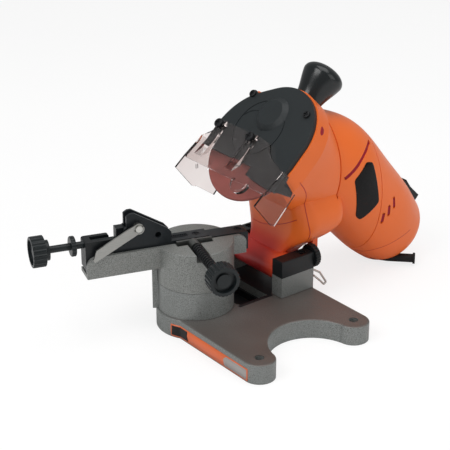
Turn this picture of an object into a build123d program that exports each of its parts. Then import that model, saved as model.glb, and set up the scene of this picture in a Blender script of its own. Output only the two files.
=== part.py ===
from build123d import *
from math import cos, radians, sin, tan
import os

# Electric chainsaw sharpener, bench mounted, millimetres, +Z up.
# Origin: the swivel axis of the chain vise, on the underside of the base.
# +X runs from the vise to the two bench-mounting lobes, +Y to the motor side.

# ---------------------------------------------------------------- driving sizes
# base casting
PLATE_H = 17.0            # height of the base plate
PLATE_WALL = 4.5          # wall of the hollow plate
PLATE_TOP = 5.0           # thickness of its top skin
SIDE_FRONT_Y = -29.5      # straight side that carries the label
SIDE_BACK_Y = 99.0        # straight side under the motor
LOBE_R = 13.5             # rounded mounting lobes
LOBE_X = 105.0            # line of the two bench-bolt holes
HOLE_FRONT_Y = -16.0
HOLE_BACK_Y = 85.5
BOLT_HOLE_R = 4.0
BOSS_WALL = 4.5
NOTCH_DEEP_X = 76.0       # deepest point of the concave cut between the lobes
EDGE_R = 1.6
DRUM_R = 32.5             # vise drum, lower (fixed) and upper (turning) half
DRUM_SEAM_Z = 42.0
DRUM_TOP_Z = 77.0
DRUM_GAP = 0.3
DRUM_SKIRT = 1.6          # plate margin round the drum
WELL_X = 27.0             # well between the drum and the hinge
WELL_FRONT_Y = 26.0
WELL_BACK_Y = 58.0
RIB_TOP_Z = 56.0          # index rib beside the turning drum
RIB_R = 36.6

# hinge fork
POST_T = 13.0             # thickness of each hinge post along X
POST_IN_RIGHT = 27.0      # inner face of the right post
POST_IN_LEFT = -31.0      # inner face of the left post
POST_Y0 = 62.0
POST_Y1 = 98.0
HINGE_Y = 78.0
HINGE_Z = 36.5            # split line between post and cap
CAP_H = 15.0
PIN_R = 4.0
PIN_CLEAR = 0.04
BARREL_R = 13.0
SIDE_GAP = 0.5            # barrel end to post
CAP_SCREW_Y = 89.0
CAP_SCREW_R = 2.0
CAP_HEAD_R = 3.6
WHEEL_R = 10.6            # knurled depth-stop wheel
WHEEL_T = 5.0
WHEEL_Z = 45.5
WHEEL_STEM_R = 2.5
WHEEL_GRIPS = 24

# vise, in its own frame: s along the rail (Y), o across it (X)
SWIVEL = 17.5             # degrees the vise is turned from the straight cut
ARM_BACK = -15.0          # the arm channel, across
ARM_FRONT = 5.0
ARM_WALL = 3.2
ARM_FLOOR_Z = 58.0
ARM_FLOOR_T = 3.4
ARM_END = -95.0
LUG_END = 44.0
RAIL_BACK = -13.5
RAIL_FRONT = 1.2
RAIL_TOP_Z = 79.5
RAIL_END = 47.0
JAW_T = 2.4               # sliding front jaw plate
JAW_GAP = 1.3             # chain drive-link slot between rail and jaw
JAW_S0 = -18.0
JAW_S1 = 13.0
CLAMP_S = -4.0
CLAMP_Z = 76.3
CLAMP_ROD_R = 2.5
CLAMP_KNOB_O = 69.0
CLAMP_KNOB_R = 13.0
CLAMP_KNOB_T = 13.0
CLAMP_GROOVE = 11.5
SLEEVE_R = 4.6
SLEEVE_O1 = 14.5
SPRING_R = 3.7            # mean radius of the clamp spring
SPRING_WIRE = 0.65
JAW_TRAVEL = 2.4

# chain stop on the arm
BLOCK_S0 = -95.0
BLOCK_S1 = -72.0
BLOCK_TOP_Z = 89.5
BLOCK_GROOVE = 8.0
SCREW_Z = 85.5
SCREW_O = -5.5
SCREW_R = 3.0
FEED_KNOB_S = -124.0
FEED_KNOB_R = 13.0
FEED_KNOB_T = 11.0
FEED_HUB_R = 8.5
FEED_HUB_T = 3.5
LOCK_NUT_S = -104.0
LOCK_NUT_R = 8.5
LOCK_NUT_T = 4.0
CARRIER_T = 2.6
CARRIER_FRONT = 1.8
CARRIER_BACK = -9.5
CARRIER_S0 = -68.0
CARRIER_TRAVEL_OUT = 3.4
CARRIER_TRAVEL_IN = 6.4
PAWL_S = -51.0
PAWL_Z = 98.0
PAWL_T = 1.6
PAWL_LEN = 42.0
PAWL_W = 8.5
PAWL_PIN_R = 2.0
PAWL_ANGLE = 208.0
PAWL_O = ARM_FRONT + 0.3

# head frame: disc centre, tilt of the disc axis above the horizontal
DISC_X = 2.0
DISC_Y = 65.1
DISC_Z = 143.9
TILT = 44.0
DISC_R = 50.0
DISC_T = 3.2
COVER_R = 51.8            # black disc cover: a round about the disc centre
COVER_LOBE = (9.0, 15.0)  # and a smaller one above it, joined by tangents
COVER_LOBE_R = 43.6
COVER_EAR_R = 4.0         # ear round the left screw
COVER_HOLLOW_R = 47.0
COVER_WING_T = 2.0        # flat part that hangs on the right
COVER_SIDE = 52.3         # outer face of the wedge at its right edge
COVER_FACE = 7.8          # its front face, ahead of the disc centre
COVER_WALL = 2.0
COVER_CUT = -18.7         # straight lower edge
DOME_UP = 30.0            # shallow dome on the cover
DOME_R = 17.0
DOME_H = 3.0
COVER_SCREWS = ((-34.0, 40.3), (35.5, 40.5))
COVER_SCREW_R = 1.5
COVER_HEAD_R = 3.3
MARK_DEEP = 0.5           # moulded marks in the cover's face
RIM_OUT = 1.5             # rim of the housing, past the outline of the cover
RIM_FACE = 3.2
RIM_BACK = -13.5
RIM_STEP = 0.9            # the housing behind the rim starts this much smaller
RIM_CUT = -17.0           # lower edge of the rim beside the disc
BELLY_CUT = -26.5         # underside of the gear room
MOUTH_FLOOR = -6.0        # wall behind the disc
BLADE_ROOM = 1.2          # free air around the disc
SPLIT_Y = 123.0           # upright plane where the two housings meet
NECK_BACK = 128.0         # flat back of the neck
MOTOR_UP = 30.0           # motor axis above the spindle axis
# rings of the motor housing: place along the axis, middle above the spindle, radius
BARREL_RINGS = (
    (-14, 30, 33), (-50, 28.5, 40), (-80, 31, 44), (-110, 30.2, 43), (-140, 29, 41.3),
    (-165, 27.6, 40.2), (-185, 26.6, 37.6), (-206, 26, 35.5),
)
TAIL_ROUND = 18.0
SEAM_W = 1.4              # parting grooves of the motor housing
SEAM_DEEP = 1.0
BAND_Y = 173.0
BAND_W = 0.7
BAND_DEEP = 0.7
SLOT_W = 3.2              # moulded slots in the right flank
SLOT_DEEP = 1.6
LONG_SLOT = ((64.7, -80.4), (53.7, -73.9), (40.3, -70.0), (29.0, -67.7), (21.2, -65.7))
VENTS = ((37.0, -138.5), (28.2, -137.7), (19.5, -137.6))
VENT_L = 8.2
VENT_TURN = 43.0
SHIELD_IN = 52.6          # inner face of the shield's side walls
SHIELD_WALL_UP = -20.2    # top of those walls beside the rim
SHIELD_FACE = 11.2        # rear face of its front panel
SHIELD_T = 2.0
SHIELD_UP = 7.0
SHIELD_BEND = -13.0       # below this the panel leans out
SHIELD_DOWN = -35.5
SHIELD_LEAN = 4.0
SHIELD_LUG = (23.5, -36.0)
SHIELD_LUG_R = 10.0
SHIELD_SCREWS = (-43.0, -1.0)
SHIELD_SCREW_UP = 3.0
SHIELD_SCREW_R = 1.8
SHIELD_HEAD_R = 4.2
SHIELD_TRAVEL = 6.0
HANDLE_UP = 59.0
HANDLE_BACK = -18.0
HANDLE_FOOT_R = 12.0
HANDLE_TOP_R = 18.5
HANDLE_L = 35.0
GUARD_R = 4.0
GUARD_LIP_R = 5.2

# drive
SPINDLE_R = 4.0
COLLAR_R = 6.0
FLANGE_R = 15.0
FLANGE_T = 3.4
PILOT_R = 5.0
CAP_FLANGE_T = 1.6
NUT_T = 2.2
NUT_R = 8.0
GEAR_TEETH = 42
PINION_TEETH = 18
MODULE = 1.0
GEAR_BACK = -34.0
GEAR_T = 7.0
PINION_T = 8.0
ROOM_FRONT = -22.0        # front wall of the gear room
ROOM_R = 23.0
PLATE_BACK = -41.0        # gear plate between gear room and motor
PLATE_T = 5.0
PLATE_R = 25.5
BIG_BRG_R = 11.0
BIG_BRG_T = 7.0
BIG_BRG_BACK = -20.0
SMALL_BRG_R = 8.0
SMALL_BRG_T = 5.0
WALL = 3.0                # moulded walls of the housings
HOLLOW_FRONT = -45.0      # hollow behind the gear plate
STATOR_R = 25.0
STATOR_BORE_R = 13.3
STATOR_FRONT = -66.0
STATOR_L = 32.0
STATOR_FIN_T = 3.0
COIL_OVER = 6.0           # winding heads past the stator
CORE_R = 12.5
CORE_L = 30.0
FAN_R = 22.0
FAN_FRONT = -47.0
FAN_T = 8.0
FAN_BLADES = 11
COMM_R = 8.0
COMM_FRONT = -110.0
COMM_L = 12.0
BULKHEAD_FRONT = -128.0   # wall that carries the tail bearing
BULKHEAD_T = 6.0
BRUSH_W = 7.0
BRUSH_L = 15.0
SWITCH_Z0 = -202.0
SWITCH_Z1 = -175.0
SWITCH_W = 15.0
SWITCH_SINK = 26.0        # floor of its pocket, out from the motor axis
SWITCH_TOP = 38.5
ROCKER_DEEP = 5.0
ROCKER_TILT = 7.0
ROCKER_PIN_R = 1.0
ROCKER_PIN_UP = 2.0       # its axis, below the top of the frame
FIT = 0.02                # radial play where one piece is pressed in another
RUN = 0.3                 # play between pieces that move past each other

HEAD = Plane(
    origin=(DISC_X, DISC_Y, DISC_Z),
    x_dir=(1, 0, 0),
    z_dir=(0, -cos(radians(TILT)), sin(radians(TILT))),
)
VISE = Rot(0, 0, -SWIVEL)


# ---------------------------------------------------------------- helpers
def box(x0, x1, y0, y1, z0, z1):
    """A box from its two corners."""
    return Pos((x0 + x1) / 2, (y0 + y1) / 2, (z0 + z1) / 2) * Box(x1 - x0, y1 - y0, z1 - z0)


def cyl_z(x, y, z0, z1, r):
    """A cylinder along Z."""
    return Pos(x, y, (z0 + z1) / 2) * Cylinder(r, z1 - z0)


def cyl_x(x0, x1, y, z, r):
    """A cylinder along X."""
    return Pos((x0 + x1) / 2, y, z) * Rot(0, 90, 0) * Cylinder(r, x1 - x0)


def cyl_y(x, y0, y1, z, r):
    """A cylinder along Y."""
    return Pos(x, (y0 + y1) / 2, z) * Rot(90, 0, 0) * Cylinder(r, y1 - y0)


def ring_z(x, y, z0, z1, r_out, r_in):
    return cyl_z(x, y, z0, z1, r_out) - cyl_z(x, y, z0 - 1, z1 + 1, r_in)


def slab(points, x0, x1):
    """A plate from x0 to x1 with an outline given in Y and Z."""
    sheet = Plane.YZ.offset((x0 + x1) / 2) * Polygon(*points, align=None)
    return extrude(sheet, (x1 - x0) / 2, both=True)


def knurled(r, t, grips, depth=0.7):
    """A grip wheel along Z, z from 0 to t, with round-bottomed flutes."""
    wheel = cyl_z(0, 0, 0, t, r)
    wheel = fillet(wheel.edges().filter_by(GeomType.CIRCLE), 0.8)
    flute = Pos(r + depth, 0, t / 2) * Cylinder(2 * depth, t + 2)
    return wheel - [Rot(0, 0, 360 / grips * i) * flute for i in range(grips)]


def gear(teeth, width, z0, bore):
    """A spur gear with straight-flanked teeth, z0 up."""
    pitch = teeth * MODULE / 2
    root = pitch - 1.15 * MODULE
    tip = pitch + 0.85 * MODULE
    half_root = 0.95 * MODULE
    half_tip = 0.38 * MODULE
    tooth = Polygon(
        (root - 0.4, -half_root), (tip, -half_tip), (tip, half_tip), (root - 0.4, half_root),
        align=None,
    )
    outline = Circle(root) + [Rot(0, 0, 360 / teeth * i) * tooth for i in range(teeth)]
    return Pos(0, 0, z0) * extrude(outline - Circle(bore), width)


def spring(r, wire, pitch, length):
    """A compression spring along Z as stacked rings, joined by a slim inner seat line."""
    coil = Helix(pitch, length, r)
    section = Plane(origin=coil @ 0, z_dir=coil % 0) * Circle(wire)
    return sweep(section, path=coil, is_frenet=True)


# ---------------------------------------------------------------- base
def plate_outline():
    """Plan of the base: drum end, two straight sides and two lobes with a notch."""
    front = Pos(LOBE_X, HOLE_FRONT_Y) * Circle(LOBE_R)
    back = Pos(LOBE_X, HOLE_BACK_Y) * Circle(LOBE_R)
    sheet = Polygon(
        (0, SIDE_FRONT_Y), (LOBE_X, SIDE_FRONT_Y), (LOBE_X, SIDE_BACK_Y),
        (POST_IN_LEFT - POST_T - 2, SIDE_BACK_Y), (POST_IN_LEFT - POST_T - 2, POST_Y0 - 4),
        (-DRUM_R, 0),
        align=None,
    )
    half = (HOLE_BACK_Y - HOLE_FRONT_Y) / 2
    reach = LOBE_X - NOTCH_DEEP_X + LOBE_R
    notch_x = LOBE_X + (half * half - reach * reach) / (2 * reach)
    notch = Pos(notch_x, HOLE_FRONT_Y + half) * Circle(notch_x - NOTCH_DEEP_X)
    return sheet + front + back + Circle(DRUM_R + DRUM_SKIRT) - notch


def base_casting():
    outline = plate_outline()
    plate = extrude(outline, PLATE_H)
    top_edges = plate.edges().filter_by(Plane.XY).group_by(Axis.Z)[-1]
    plate = fillet(top_edges, EDGE_R)
    drum = cyl_z(0, 0, PLATE_H - 1, DRUM_SEAM_Z, DRUM_R)
    rib = Rot(0, 0, 232) * box(DRUM_R - 2, RIB_R, -7, 7, PLATE_H - 1, RIB_TOP_Z)
    rib -= cyl_z(0, 0, DRUM_SEAM_Z, RIB_TOP_Z + 1, DRUM_R + RUN)
    body = plate + drum + rib
    for inner, outer in (
        (POST_IN_RIGHT, POST_IN_RIGHT + POST_T),
        (POST_IN_LEFT - POST_T, POST_IN_LEFT),
    ):
        body += box(inner, outer, POST_Y0, POST_Y1, PLATE_H - 1, HINGE_Z)
    pocket = Pos(0, 0, -1) * extrude(offset(outline, -PLATE_WALL), PLATE_H - PLATE_TOP + 1)
    keep = box(
        -WELL_X - PLATE_WALL, WELL_X + PLATE_WALL, WELL_FRONT_Y - PLATE_WALL,
        WELL_BACK_Y + PLATE_WALL, 0, PLATE_H,
    )
    keep += cyl_z(0, 0, 0, PLATE_H, SWIVEL_WELL_R + PLATE_WALL)
    for y in (HOLE_FRONT_Y, HOLE_BACK_Y):
        keep += cyl_z(LOBE_X, y, 0, PLATE_H, BOLT_HOLE_R + BOSS_WALL)
    for x in (POST_IN_RIGHT + POST_T / 2, POST_IN_LEFT - POST_T / 2):
        keep += box(x - POST_T / 2, x + POST_T / 2, POST_Y0, POST_Y1, 0, PLATE_H)
    body -= pocket - keep
    well = box(-WELL_X, WELL_X, WELL_FRONT_Y, WELL_BACK_Y, -1, PLATE_H + 1)
    well = fillet(well.edges().filter_by(Axis.Z), 5)
    well -= cyl_z(0, 0, -2, PLATE_H + 2, DRUM_R)
    body -= well
    body -= cyl_z(0, 0, -1, SWIVEL_WELL_TOP, SWIVEL_WELL_R)
    body -= cyl_z(0, 0, SWIVEL_WELL_TOP - 1, DRUM_SEAM_Z + 1, SWIVEL_BOLT_R + 0.05)
    for y in (HOLE_FRONT_Y, HOLE_BACK_Y):
        body -= cyl_z(LOBE_X, y, -1, PLATE_H + 1, BOLT_HOLE_R)
    pin_x0 = POST_IN_LEFT - POST_T + PIN_BLIND
    pin_x1 = POST_IN_RIGHT + POST_T - PIN_BLIND
    body -= cyl_x(pin_x0 - FIT, pin_x1 + FIT, HINGE_Y, HINGE_Z, PIN_R + FIT)
    for x in (POST_IN_RIGHT + POST_T / 2, POST_IN_LEFT - POST_T / 2):
        body -= cyl_z(x, CAP_SCREW_Y, HINGE_Z - CAP_SCREW_DEEP, HINGE_Z + 1, CAP_SCREW_R + FIT)
    return body


PIN_BLIND = 2.5
CAP_SCREW_DEEP = 10.0
SWIVEL_BOLT_R = 4.0
SWIVEL_WELL_R = 21.0
SWIVEL_WELL_TOP = 13.0


def dust_tray():
    """Dark tray in the well, on a lip under the plate."""
    tray = box(
        -WELL_X + RUN, WELL_X - RUN, WELL_FRONT_Y + RUN, WELL_BACK_Y - RUN, 1.0, 9.0,
    )
    tray = fillet(tray.edges().filter_by(Axis.Z), 4.5)
    inner = box(
        -WELL_X + 2.5, WELL_X - 2.5, WELL_FRONT_Y + 2.5, WELL_BACK_Y - 2.5, 3.0, 10.0,
    )
    return tray - inner - cyl_z(0, 0, 0, PLATE_H, DRUM_R + RUN)


def hinge_cap(inner, outer):
    """Upper half of a hinge bearing, closed in front and recessed for its screw."""
    cap = box(inner, outer, POST_Y0, POST_Y1, HINGE_Z + 0.02, HINGE_Z + CAP_H)
    top = cap.edges().group_by(Axis.Z)[-1]
    cap = fillet(top, 1.0)
    middle = (inner + outer) / 2
    pin_x0 = POST_IN_LEFT - POST_T + PIN_BLIND
    pin_x1 = POST_IN_RIGHT + POST_T - PIN_BLIND
    cap -= cyl_x(pin_x0 - FIT, pin_x1 + FIT, HINGE_Y, HINGE_Z, PIN_R + FIT)
    cap -= cyl_z(middle, CAP_SCREW_Y, HINGE_Z - 1, HINGE_Z + CAP_H + 1, CAP_SCREW_R + 0.2)
    cap -= cyl_z(middle, CAP_SCREW_Y, HINGE_Z + CAP_H - 4, HINGE_Z + CAP_H + 1, CAP_HEAD_R + 0.3)
    if inner > 0:
        cap -= cyl_y(middle, POST_Y1 - WHEEL_STEM_L - 0.5, POST_Y1 + 1, WHEEL_Z, WHEEL_STEM_R + 0.05)
    return cap


def cap_screws():
    """Two recessed cap screws, one for each hinge cap."""
    group = []
    for x in (POST_IN_RIGHT + POST_T / 2, POST_IN_LEFT - POST_T / 2):
        top = HINGE_Z + CAP_H - 1.2
        shank = cyl_z(x, CAP_SCREW_Y, HINGE_Z - CAP_SCREW_DEEP + 0.5, top - 2.7, CAP_SCREW_R)
        head = cyl_z(x, CAP_SCREW_Y, top - 2.8, top, CAP_HEAD_R)
        slot = box(x - 0.6, x + 0.6, CAP_SCREW_Y - 2.6, CAP_SCREW_Y + 2.6, top - 1.2, top + 1)
        cross = box(x - 2.6, x + 2.6, CAP_SCREW_Y - 0.6, CAP_SCREW_Y + 0.6, top - 1.2, top + 1)
        group.append(shank + head - slot - cross)
    return Compound(children=group)


def hinge_pin():
    x0 = POST_IN_LEFT - POST_T + PIN_BLIND
    x1 = POST_IN_RIGHT + POST_T - PIN_BLIND
    return chamfer(cyl_x(x0, x1, HINGE_Y, HINGE_Z, PIN_R).edges().filter_by(GeomType.CIRCLE), 0.5)


def depth_wheel():
    """Knurled wheel on a short screw in the rear of the right cap."""
    x = POST_IN_RIGHT + POST_T / 2
    wheel = knurled(WHEEL_R, WHEEL_T, WHEEL_GRIPS)
    wheel += cyl_z(0, 0, -WHEEL_STEM_L, 0.5, WHEEL_STEM_R)
    return Pos(x, POST_Y1 + RUN, WHEEL_Z) * Rot(-90, 0, 0) * wheel


WHEEL_STEM_L = 4.6


def return_spring():
    """Torsion spring round the hinge pin; its long leg loops out behind the base."""
    coil = Helix(SPRING_PITCH, SPRING_PITCH * 4, SPRING_COIL_R)
    section = Plane(origin=coil @ 0, z_dir=coil % 0) * Circle(SPRING_COIL_WIRE)
    turns = sweep(section, path=coil, is_frenet=True)
    turns = Pos(SPRING_X, HINGE_Y, HINGE_Z) * Rot(0, 90, 0) * turns
    z0 = HINGE_Z - SPRING_COIL_R
    points = [(HINGE_Y + 1, z0), (SPRING_BEND_Y, z0)] + list(SPRING_HAIRPIN)
    leg = FilletPolyline(*[(SPRING_LEG_X, y, z) for y, z in points], radius=1.1)
    path = Plane(origin=leg @ 0, z_dir=leg % 0) * Circle(SPRING_COIL_WIRE)
    return turns + sweep(path, path=leg)


SPRING_PITCH = 2.6
SPRING_COIL_R = 7.2
SPRING_COIL_WIRE = 0.9
SPRING_X = 14.6
SPRING_LEG_X = 24.2
SPRING_BEND_Y = 104.0
SPRING_HAIRPIN = ((114.0, 23.0), (120.0, 19.1), (128.0, 7.0), (125.2, 5.6), (120.3, 11.0), (112.6, 18.3))


# ---------------------------------------------------------------- vise
def vise_turret():
    """Turning drum with the channel arm that carries the chain stop."""
    z0 = DRUM_SEAM_Z + DRUM_GAP
    drum = cyl_z(0, 0, z0, DRUM_TOP_Z, DRUM_R)
    rim = drum.edges().filter_by(GeomType.CIRCLE).group_by(Axis.Z)[-1]
    drum = fillet(rim, 0.8)
    arm = box(ARM_BACK, ARM_FRONT, ARM_END, 0, ARM_FLOOR_Z, DRUM_TOP_Z)
    end_edge = arm.edges().filter_by(Axis.X).group_by(Axis.Y)[0].group_by(Axis.Z)[-1]
    arm = fillet(end_edge, 9)
    lug = box(ARM_FRONT - ARM_WALL, ARM_FRONT, 0, LUG_END, ARM_FLOOR_Z + 2, DRUM_TOP_Z)
    lug_edge = lug.edges().filter_by(Axis.X).group_by(Axis.Y)[-1].group_by(Axis.Z)[-1]
    lug = fillet(lug_edge, 7)
    body = drum + arm + lug
    channel = box(
        ARM_BACK - 1, ARM_FRONT - ARM_WALL, ARM_END - 1, RAIL_END + 20,
        ARM_FLOOR_Z + ARM_FLOOR_T, DRUM_TOP_Z + 20,
    )
    channel -= box(
        ARM_BACK - 2, RAIL_BACK - RUN, -DRUM_R - 8, RAIL_END + 21, 0, DRUM_TOP_Z + 30,
    )
    body -= channel
    slot = box(
        ARM_FRONT - ARM_WALL - 1, ARM_FRONT + 3.2, JAW_S0 - 0.4, JAW_S1 + 0.4,
        ARM_FLOOR_Z + ARM_FLOOR_T, DRUM_TOP_Z + 5,
    )
    body -= slot
    groove = box(
        ARM_FRONT, DRUM_R + 5, CLAMP_S - CLAMP_GROOVE / 2, CLAMP_S + CLAMP_GROOVE / 2,
        CLAMP_Z - CLAMP_GROOVE / 2, DRUM_TOP_Z + 5,
    )
    body -= groove
    body -= cyl_z(0, 0, 0, z0 + 22, SWIVEL_BOLT_R + FIT)
    body -= extrude(
        Pos(0, 0, ARM_FLOOR_Z + ARM_FLOOR_T - 6.2) * RegularPolygon(SWIVEL_HEAD_R + FIT, 6), 10
    )
    return VISE * body


SWIVEL_HEAD_R = 7.2
SWIVEL_HEAD_T = 5.5


def swivel_bolt():
    """Hexagon bolt under the rail, down through both halves of the drum."""
    head_z = ARM_FLOOR_Z + ARM_FLOOR_T - 6.0
    head = extrude(Pos(0, 0, head_z) * RegularPolygon(SWIVEL_HEAD_R, 6), SWIVEL_HEAD_T)
    return VISE * (head + cyl_z(0, 0, 2.6, head_z + 0.5, SWIVEL_BOLT_R - 0.02))


def angle_lock_knob():
    """Low knurled nut under the drum that locks the vise angle."""
    knob = knurled(SWIVEL_WELL_R - 2.5, 8.5, 20, 1.1)
    knob -= cyl_z(0, 0, -1, 10, SWIVEL_BOLT_R + 0.03)
    return Pos(0, 0, 1.6) * knob


def lock_washer():
    return ring_z(0, 0, 10.4, SWIVEL_WELL_TOP - 0.05, 11, SWIVEL_BOLT_R + 0.2)


def rail_body():
    """Black rail in the channel: rear jaw, top plate and the seat of the stop."""
    z0 = ARM_FLOOR_Z + ARM_FLOOR_T
    rail = box(RAIL_BACK, RAIL_FRONT, ARM_END + 1.5, RAIL_END, z0, DRUM_TOP_Z + 0.8)
    plate = box(RAIL_BACK, RAIL_FRONT, ARM_END + 1.5, JAW_S1 - 1, DRUM_TOP_Z, RAIL_TOP_Z)
    rail += plate
    tail = rail.edges().filter_by(Axis.X).group_by(Axis.Y)[-1].group_by(Axis.Z)[-1]
    rail = fillet(tail, 1.5)
    rail -= box(
        -9.5, -3.5, JAW_S0 - 3, -5.0, RAIL_TOP_Z - 5, RAIL_TOP_Z + 1,
    )
    rail -= box(
        ARM_FRONT - 20, ARM_FRONT, BLOCK_S0 - 2, BLOCK_S1 + RUN, z0 + 3.0, RAIL_TOP_Z + 5,
    )
    stud = cyl_x(RAIL_BACK + 3, ARM_FRONT, CLAMP_S, CLAMP_Z, CLAMP_ROD_R + 0.05)
    rail -= stud
    for s in RAIL_SCREWS:
        rail -= cyl_z(-6.3, s, z0 + 4, RAIL_TOP_Z + 2, 1.8 + FIT)
        rail -= cyl_z(-6.3, s, rail_top(s) - 2.4, RAIL_TOP_Z + 2, 3.4)
    return VISE * rail


RAIL_SCREWS = (2.5, 40.0)


def rail_top(s):
    return RAIL_TOP_Z if s < JAW_S1 - 1 else DRUM_TOP_Z + 0.8


def rail_screws():
    group = []
    for s in RAIL_SCREWS:
        top = rail_top(s) - 0.6
        shank = cyl_z(-6.3, s, ARM_FLOOR_Z + ARM_FLOOR_T + 4.2, top - 1.4, 1.8)
        head = cyl_z(-6.3, s, top - 1.6, top, 3.2)
        group.append(VISE * (shank + head - box(-9, -3.6, s - 0.5, s + 0.5, top - 0.8, top + 1)))
    return Compound(children=group)


def end_block():
    """U-shaped block at the end of the arm; the feed screw turns in its groove."""
    z0 = ARM_FLOOR_Z + ARM_FLOOR_T + 3.0 + 0.05
    block = box(RAIL_BACK, RAIL_FRONT + 0.4, BLOCK_S0, BLOCK_S1, z0, BLOCK_TOP_Z)
    tops = block.edges().filter_by(Axis.X).group_by(Axis.Z)[-1]
    block = fillet(tops, 2.0)
    groove = box(
        SCREW_O - BLOCK_GROOVE / 2, SCREW_O + BLOCK_GROOVE / 2, BLOCK_S0 + 6, BLOCK_S1 + 1,
        SCREW_Z - 6, BLOCK_TOP_Z + 1,
    )
    notch = box(
        SCREW_O - BLOCK_GROOVE / 2, SCREW_O + BLOCK_GROOVE / 2, BLOCK_S0 - 1, BLOCK_S0 + 7,
        SCREW_Z + SCREW_R + 1.2, BLOCK_TOP_Z + 1,
    )
    block -= groove + notch
    block -= cyl_y(SCREW_O, BLOCK_S0 - 1, BLOCK_S1, SCREW_Z, SCREW_R + 0.08)
    return VISE * block


def feed_screw():
    """Threaded rod with a fluted knob; its tip turns in the stop carrier."""
    rod_end = CARRIER_S0 + 4.0
    knob = knurled(FEED_KNOB_R, FEED_KNOB_T, 22, 0.9)
    knob += cyl_z(0, 0, FEED_KNOB_T - 0.5, FEED_KNOB_T + FEED_HUB_T, FEED_HUB_R)
    knob -= cyl_z(0, 0, -1, 2.0, FEED_KNOB_R - 2.6)
    rod = cyl_z(0, 0, 1.5, rod_end - FEED_KNOB_S + FEED_KNOB_T + FEED_HUB_T, SCREW_R)
    start = FEED_KNOB_S - FEED_KNOB_T - FEED_HUB_T
    return VISE * (Pos(SCREW_O, start, SCREW_Z) * Rot(-90, 0, 0) * (knob + rod))


def lock_nut():
    nut = knurled(LOCK_NUT_R, LOCK_NUT_T, 20, 0.5)
    nut -= cyl_z(0, 0, -1, LOCK_NUT_T + 1, SCREW_R + 0.08)
    return VISE * (Pos(SCREW_O, LOCK_NUT_S - LOCK_NUT_T / 2, SCREW_Z) * Rot(-90, 0, 0) * nut)


def stop_carrier():
    """Two gusset plates on a saddle that slides on the rail."""
    z0 = RAIL_TOP_Z + RUN
    profile = [
        (-62.0, z0), (-62.0, 96.5), (-59.8, 98.0), (-59.8, 107.5), (-56.5, 109.5),
        (-53.0, 109.5), (-25.0, 92.5), (-21.5, 88.5), (-21.5, z0),
    ]
    side = slab(profile, 0, CARRIER_T)
    side = fillet(side.edges().filter_by(Axis.X), 0.8)
    front = Pos(CARRIER_FRONT - CARRIER_T, 0, 0) * side
    back = Pos(CARRIER_BACK, 0, 0) * side
    saddle = box(CARRIER_BACK, CARRIER_FRONT, CARRIER_S0, -40, z0, z0 + 3.0)
    nose = box(CARRIER_BACK, CARRIER_BACK + 8, CARRIER_S0, -60, z0, 97.0)
    body = front + back + saddle + nose
    body -= cyl_y(SCREW_O, CARRIER_S0 - 1, CARRIER_S0 + 5.0, SCREW_Z, SCREW_R + 0.1)
    body -= cyl_x(-30, 10, PAWL_S, PAWL_Z, PAWL_PIN_R + FIT)
    body -= cyl_x(CARRIER_FRONT - CARRIER_T - 1, 10, -33.0, 87.5, 2.6)
    return VISE * body


def stop_pawl():
    """Bent steel flap that turns over onto the chain; resting on the arm here."""
    angle = PAWL_ANGLE
    strip = Pos(PAWL_LEN / 2, 0) * Rectangle(PAWL_LEN, PAWL_W)
    outline = strip + Circle(PAWL_W / 2) + Pos(PAWL_LEN, 0) * Rectangle(6, PAWL_W)
    outline -= Pos(PAWL_LEN + 1, -PAWL_W / 2) * Rot(0, 0, 45) * Rectangle(10, 6)
    outline -= Circle(PAWL_PIN_R + 0.05)
    flap = extrude(outline, PAWL_T)
    curl = ring_z(0, 0, PAWL_T - 0.1, PAWL_T + 2.0, PAWL_W / 2, PAWL_W / 2 - 1.0)
    curl -= box(-20, 20, -20, 0, 0, 10)
    flap += curl
    reach = (0, cos(radians(angle)), sin(radians(angle)))
    plane = Plane(origin=(PAWL_O, PAWL_S, PAWL_Z), x_dir=reach, z_dir=(1, 0, 0))
    return VISE * (plane.location * flap)


def pawl_pin():
    head_o = PAWL_O + PAWL_T + 0.2
    pin = cyl_x(CARRIER_BACK + 0.2, head_o + 0.5, PAWL_S, PAWL_Z, PAWL_PIN_R)
    pin += cyl_x(CARRIER_FRONT + 0.05, PAWL_O - 0.1, PAWL_S, PAWL_Z, PAWL_PIN_R + 1.4)
    pin += cyl_x(head_o, head_o + 1.6, PAWL_S, PAWL_Z, PAWL_PIN_R + 0.9)
    return VISE * pin


def front_jaw():
    """Steel plate that presses the drive links, with the sleeve the rod runs in."""
    o0 = RAIL_FRONT + JAW_GAP
    z0 = ARM_FLOOR_Z + ARM_FLOOR_T + 0.3
    jaw = box(o0, o0 + JAW_T, JAW_S0, JAW_S1, z0, RAIL_TOP_Z)
    sleeve = cyl_x(o0 + JAW_T - 0.3, SLEEVE_O1, CLAMP_S, CLAMP_Z, SLEEVE_R)
    body = jaw + sleeve
    body -= cyl_x(o0 - 1, SLEEVE_O1 + 1, CLAMP_S, CLAMP_Z, CLAMP_ROD_R + 0.06)
    return VISE * body


def clamp_screw():
    """Clamping rod with its dished, fluted knob."""
    knob = knurled(CLAMP_KNOB_R, CLAMP_KNOB_T, 24, 0.8)
    dish = cyl_z(0, 0, CLAMP_KNOB_T - 3.5, CLAMP_KNOB_T + 1, CLAMP_KNOB_R - 3.4)
    knob -= dish
    knob += cyl_z(0, 0, CLAMP_KNOB_T - 4, CLAMP_KNOB_T - 1.6, 6.0)
    rod = cyl_z(0, 0, RAIL_BACK + 4 - CLAMP_KNOB_O, 0.5, CLAMP_ROD_R)
    return VISE * (Pos(CLAMP_KNOB_O, CLAMP_S, CLAMP_Z) * Rot(0, 90, 0) * (knob + rod))


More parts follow.
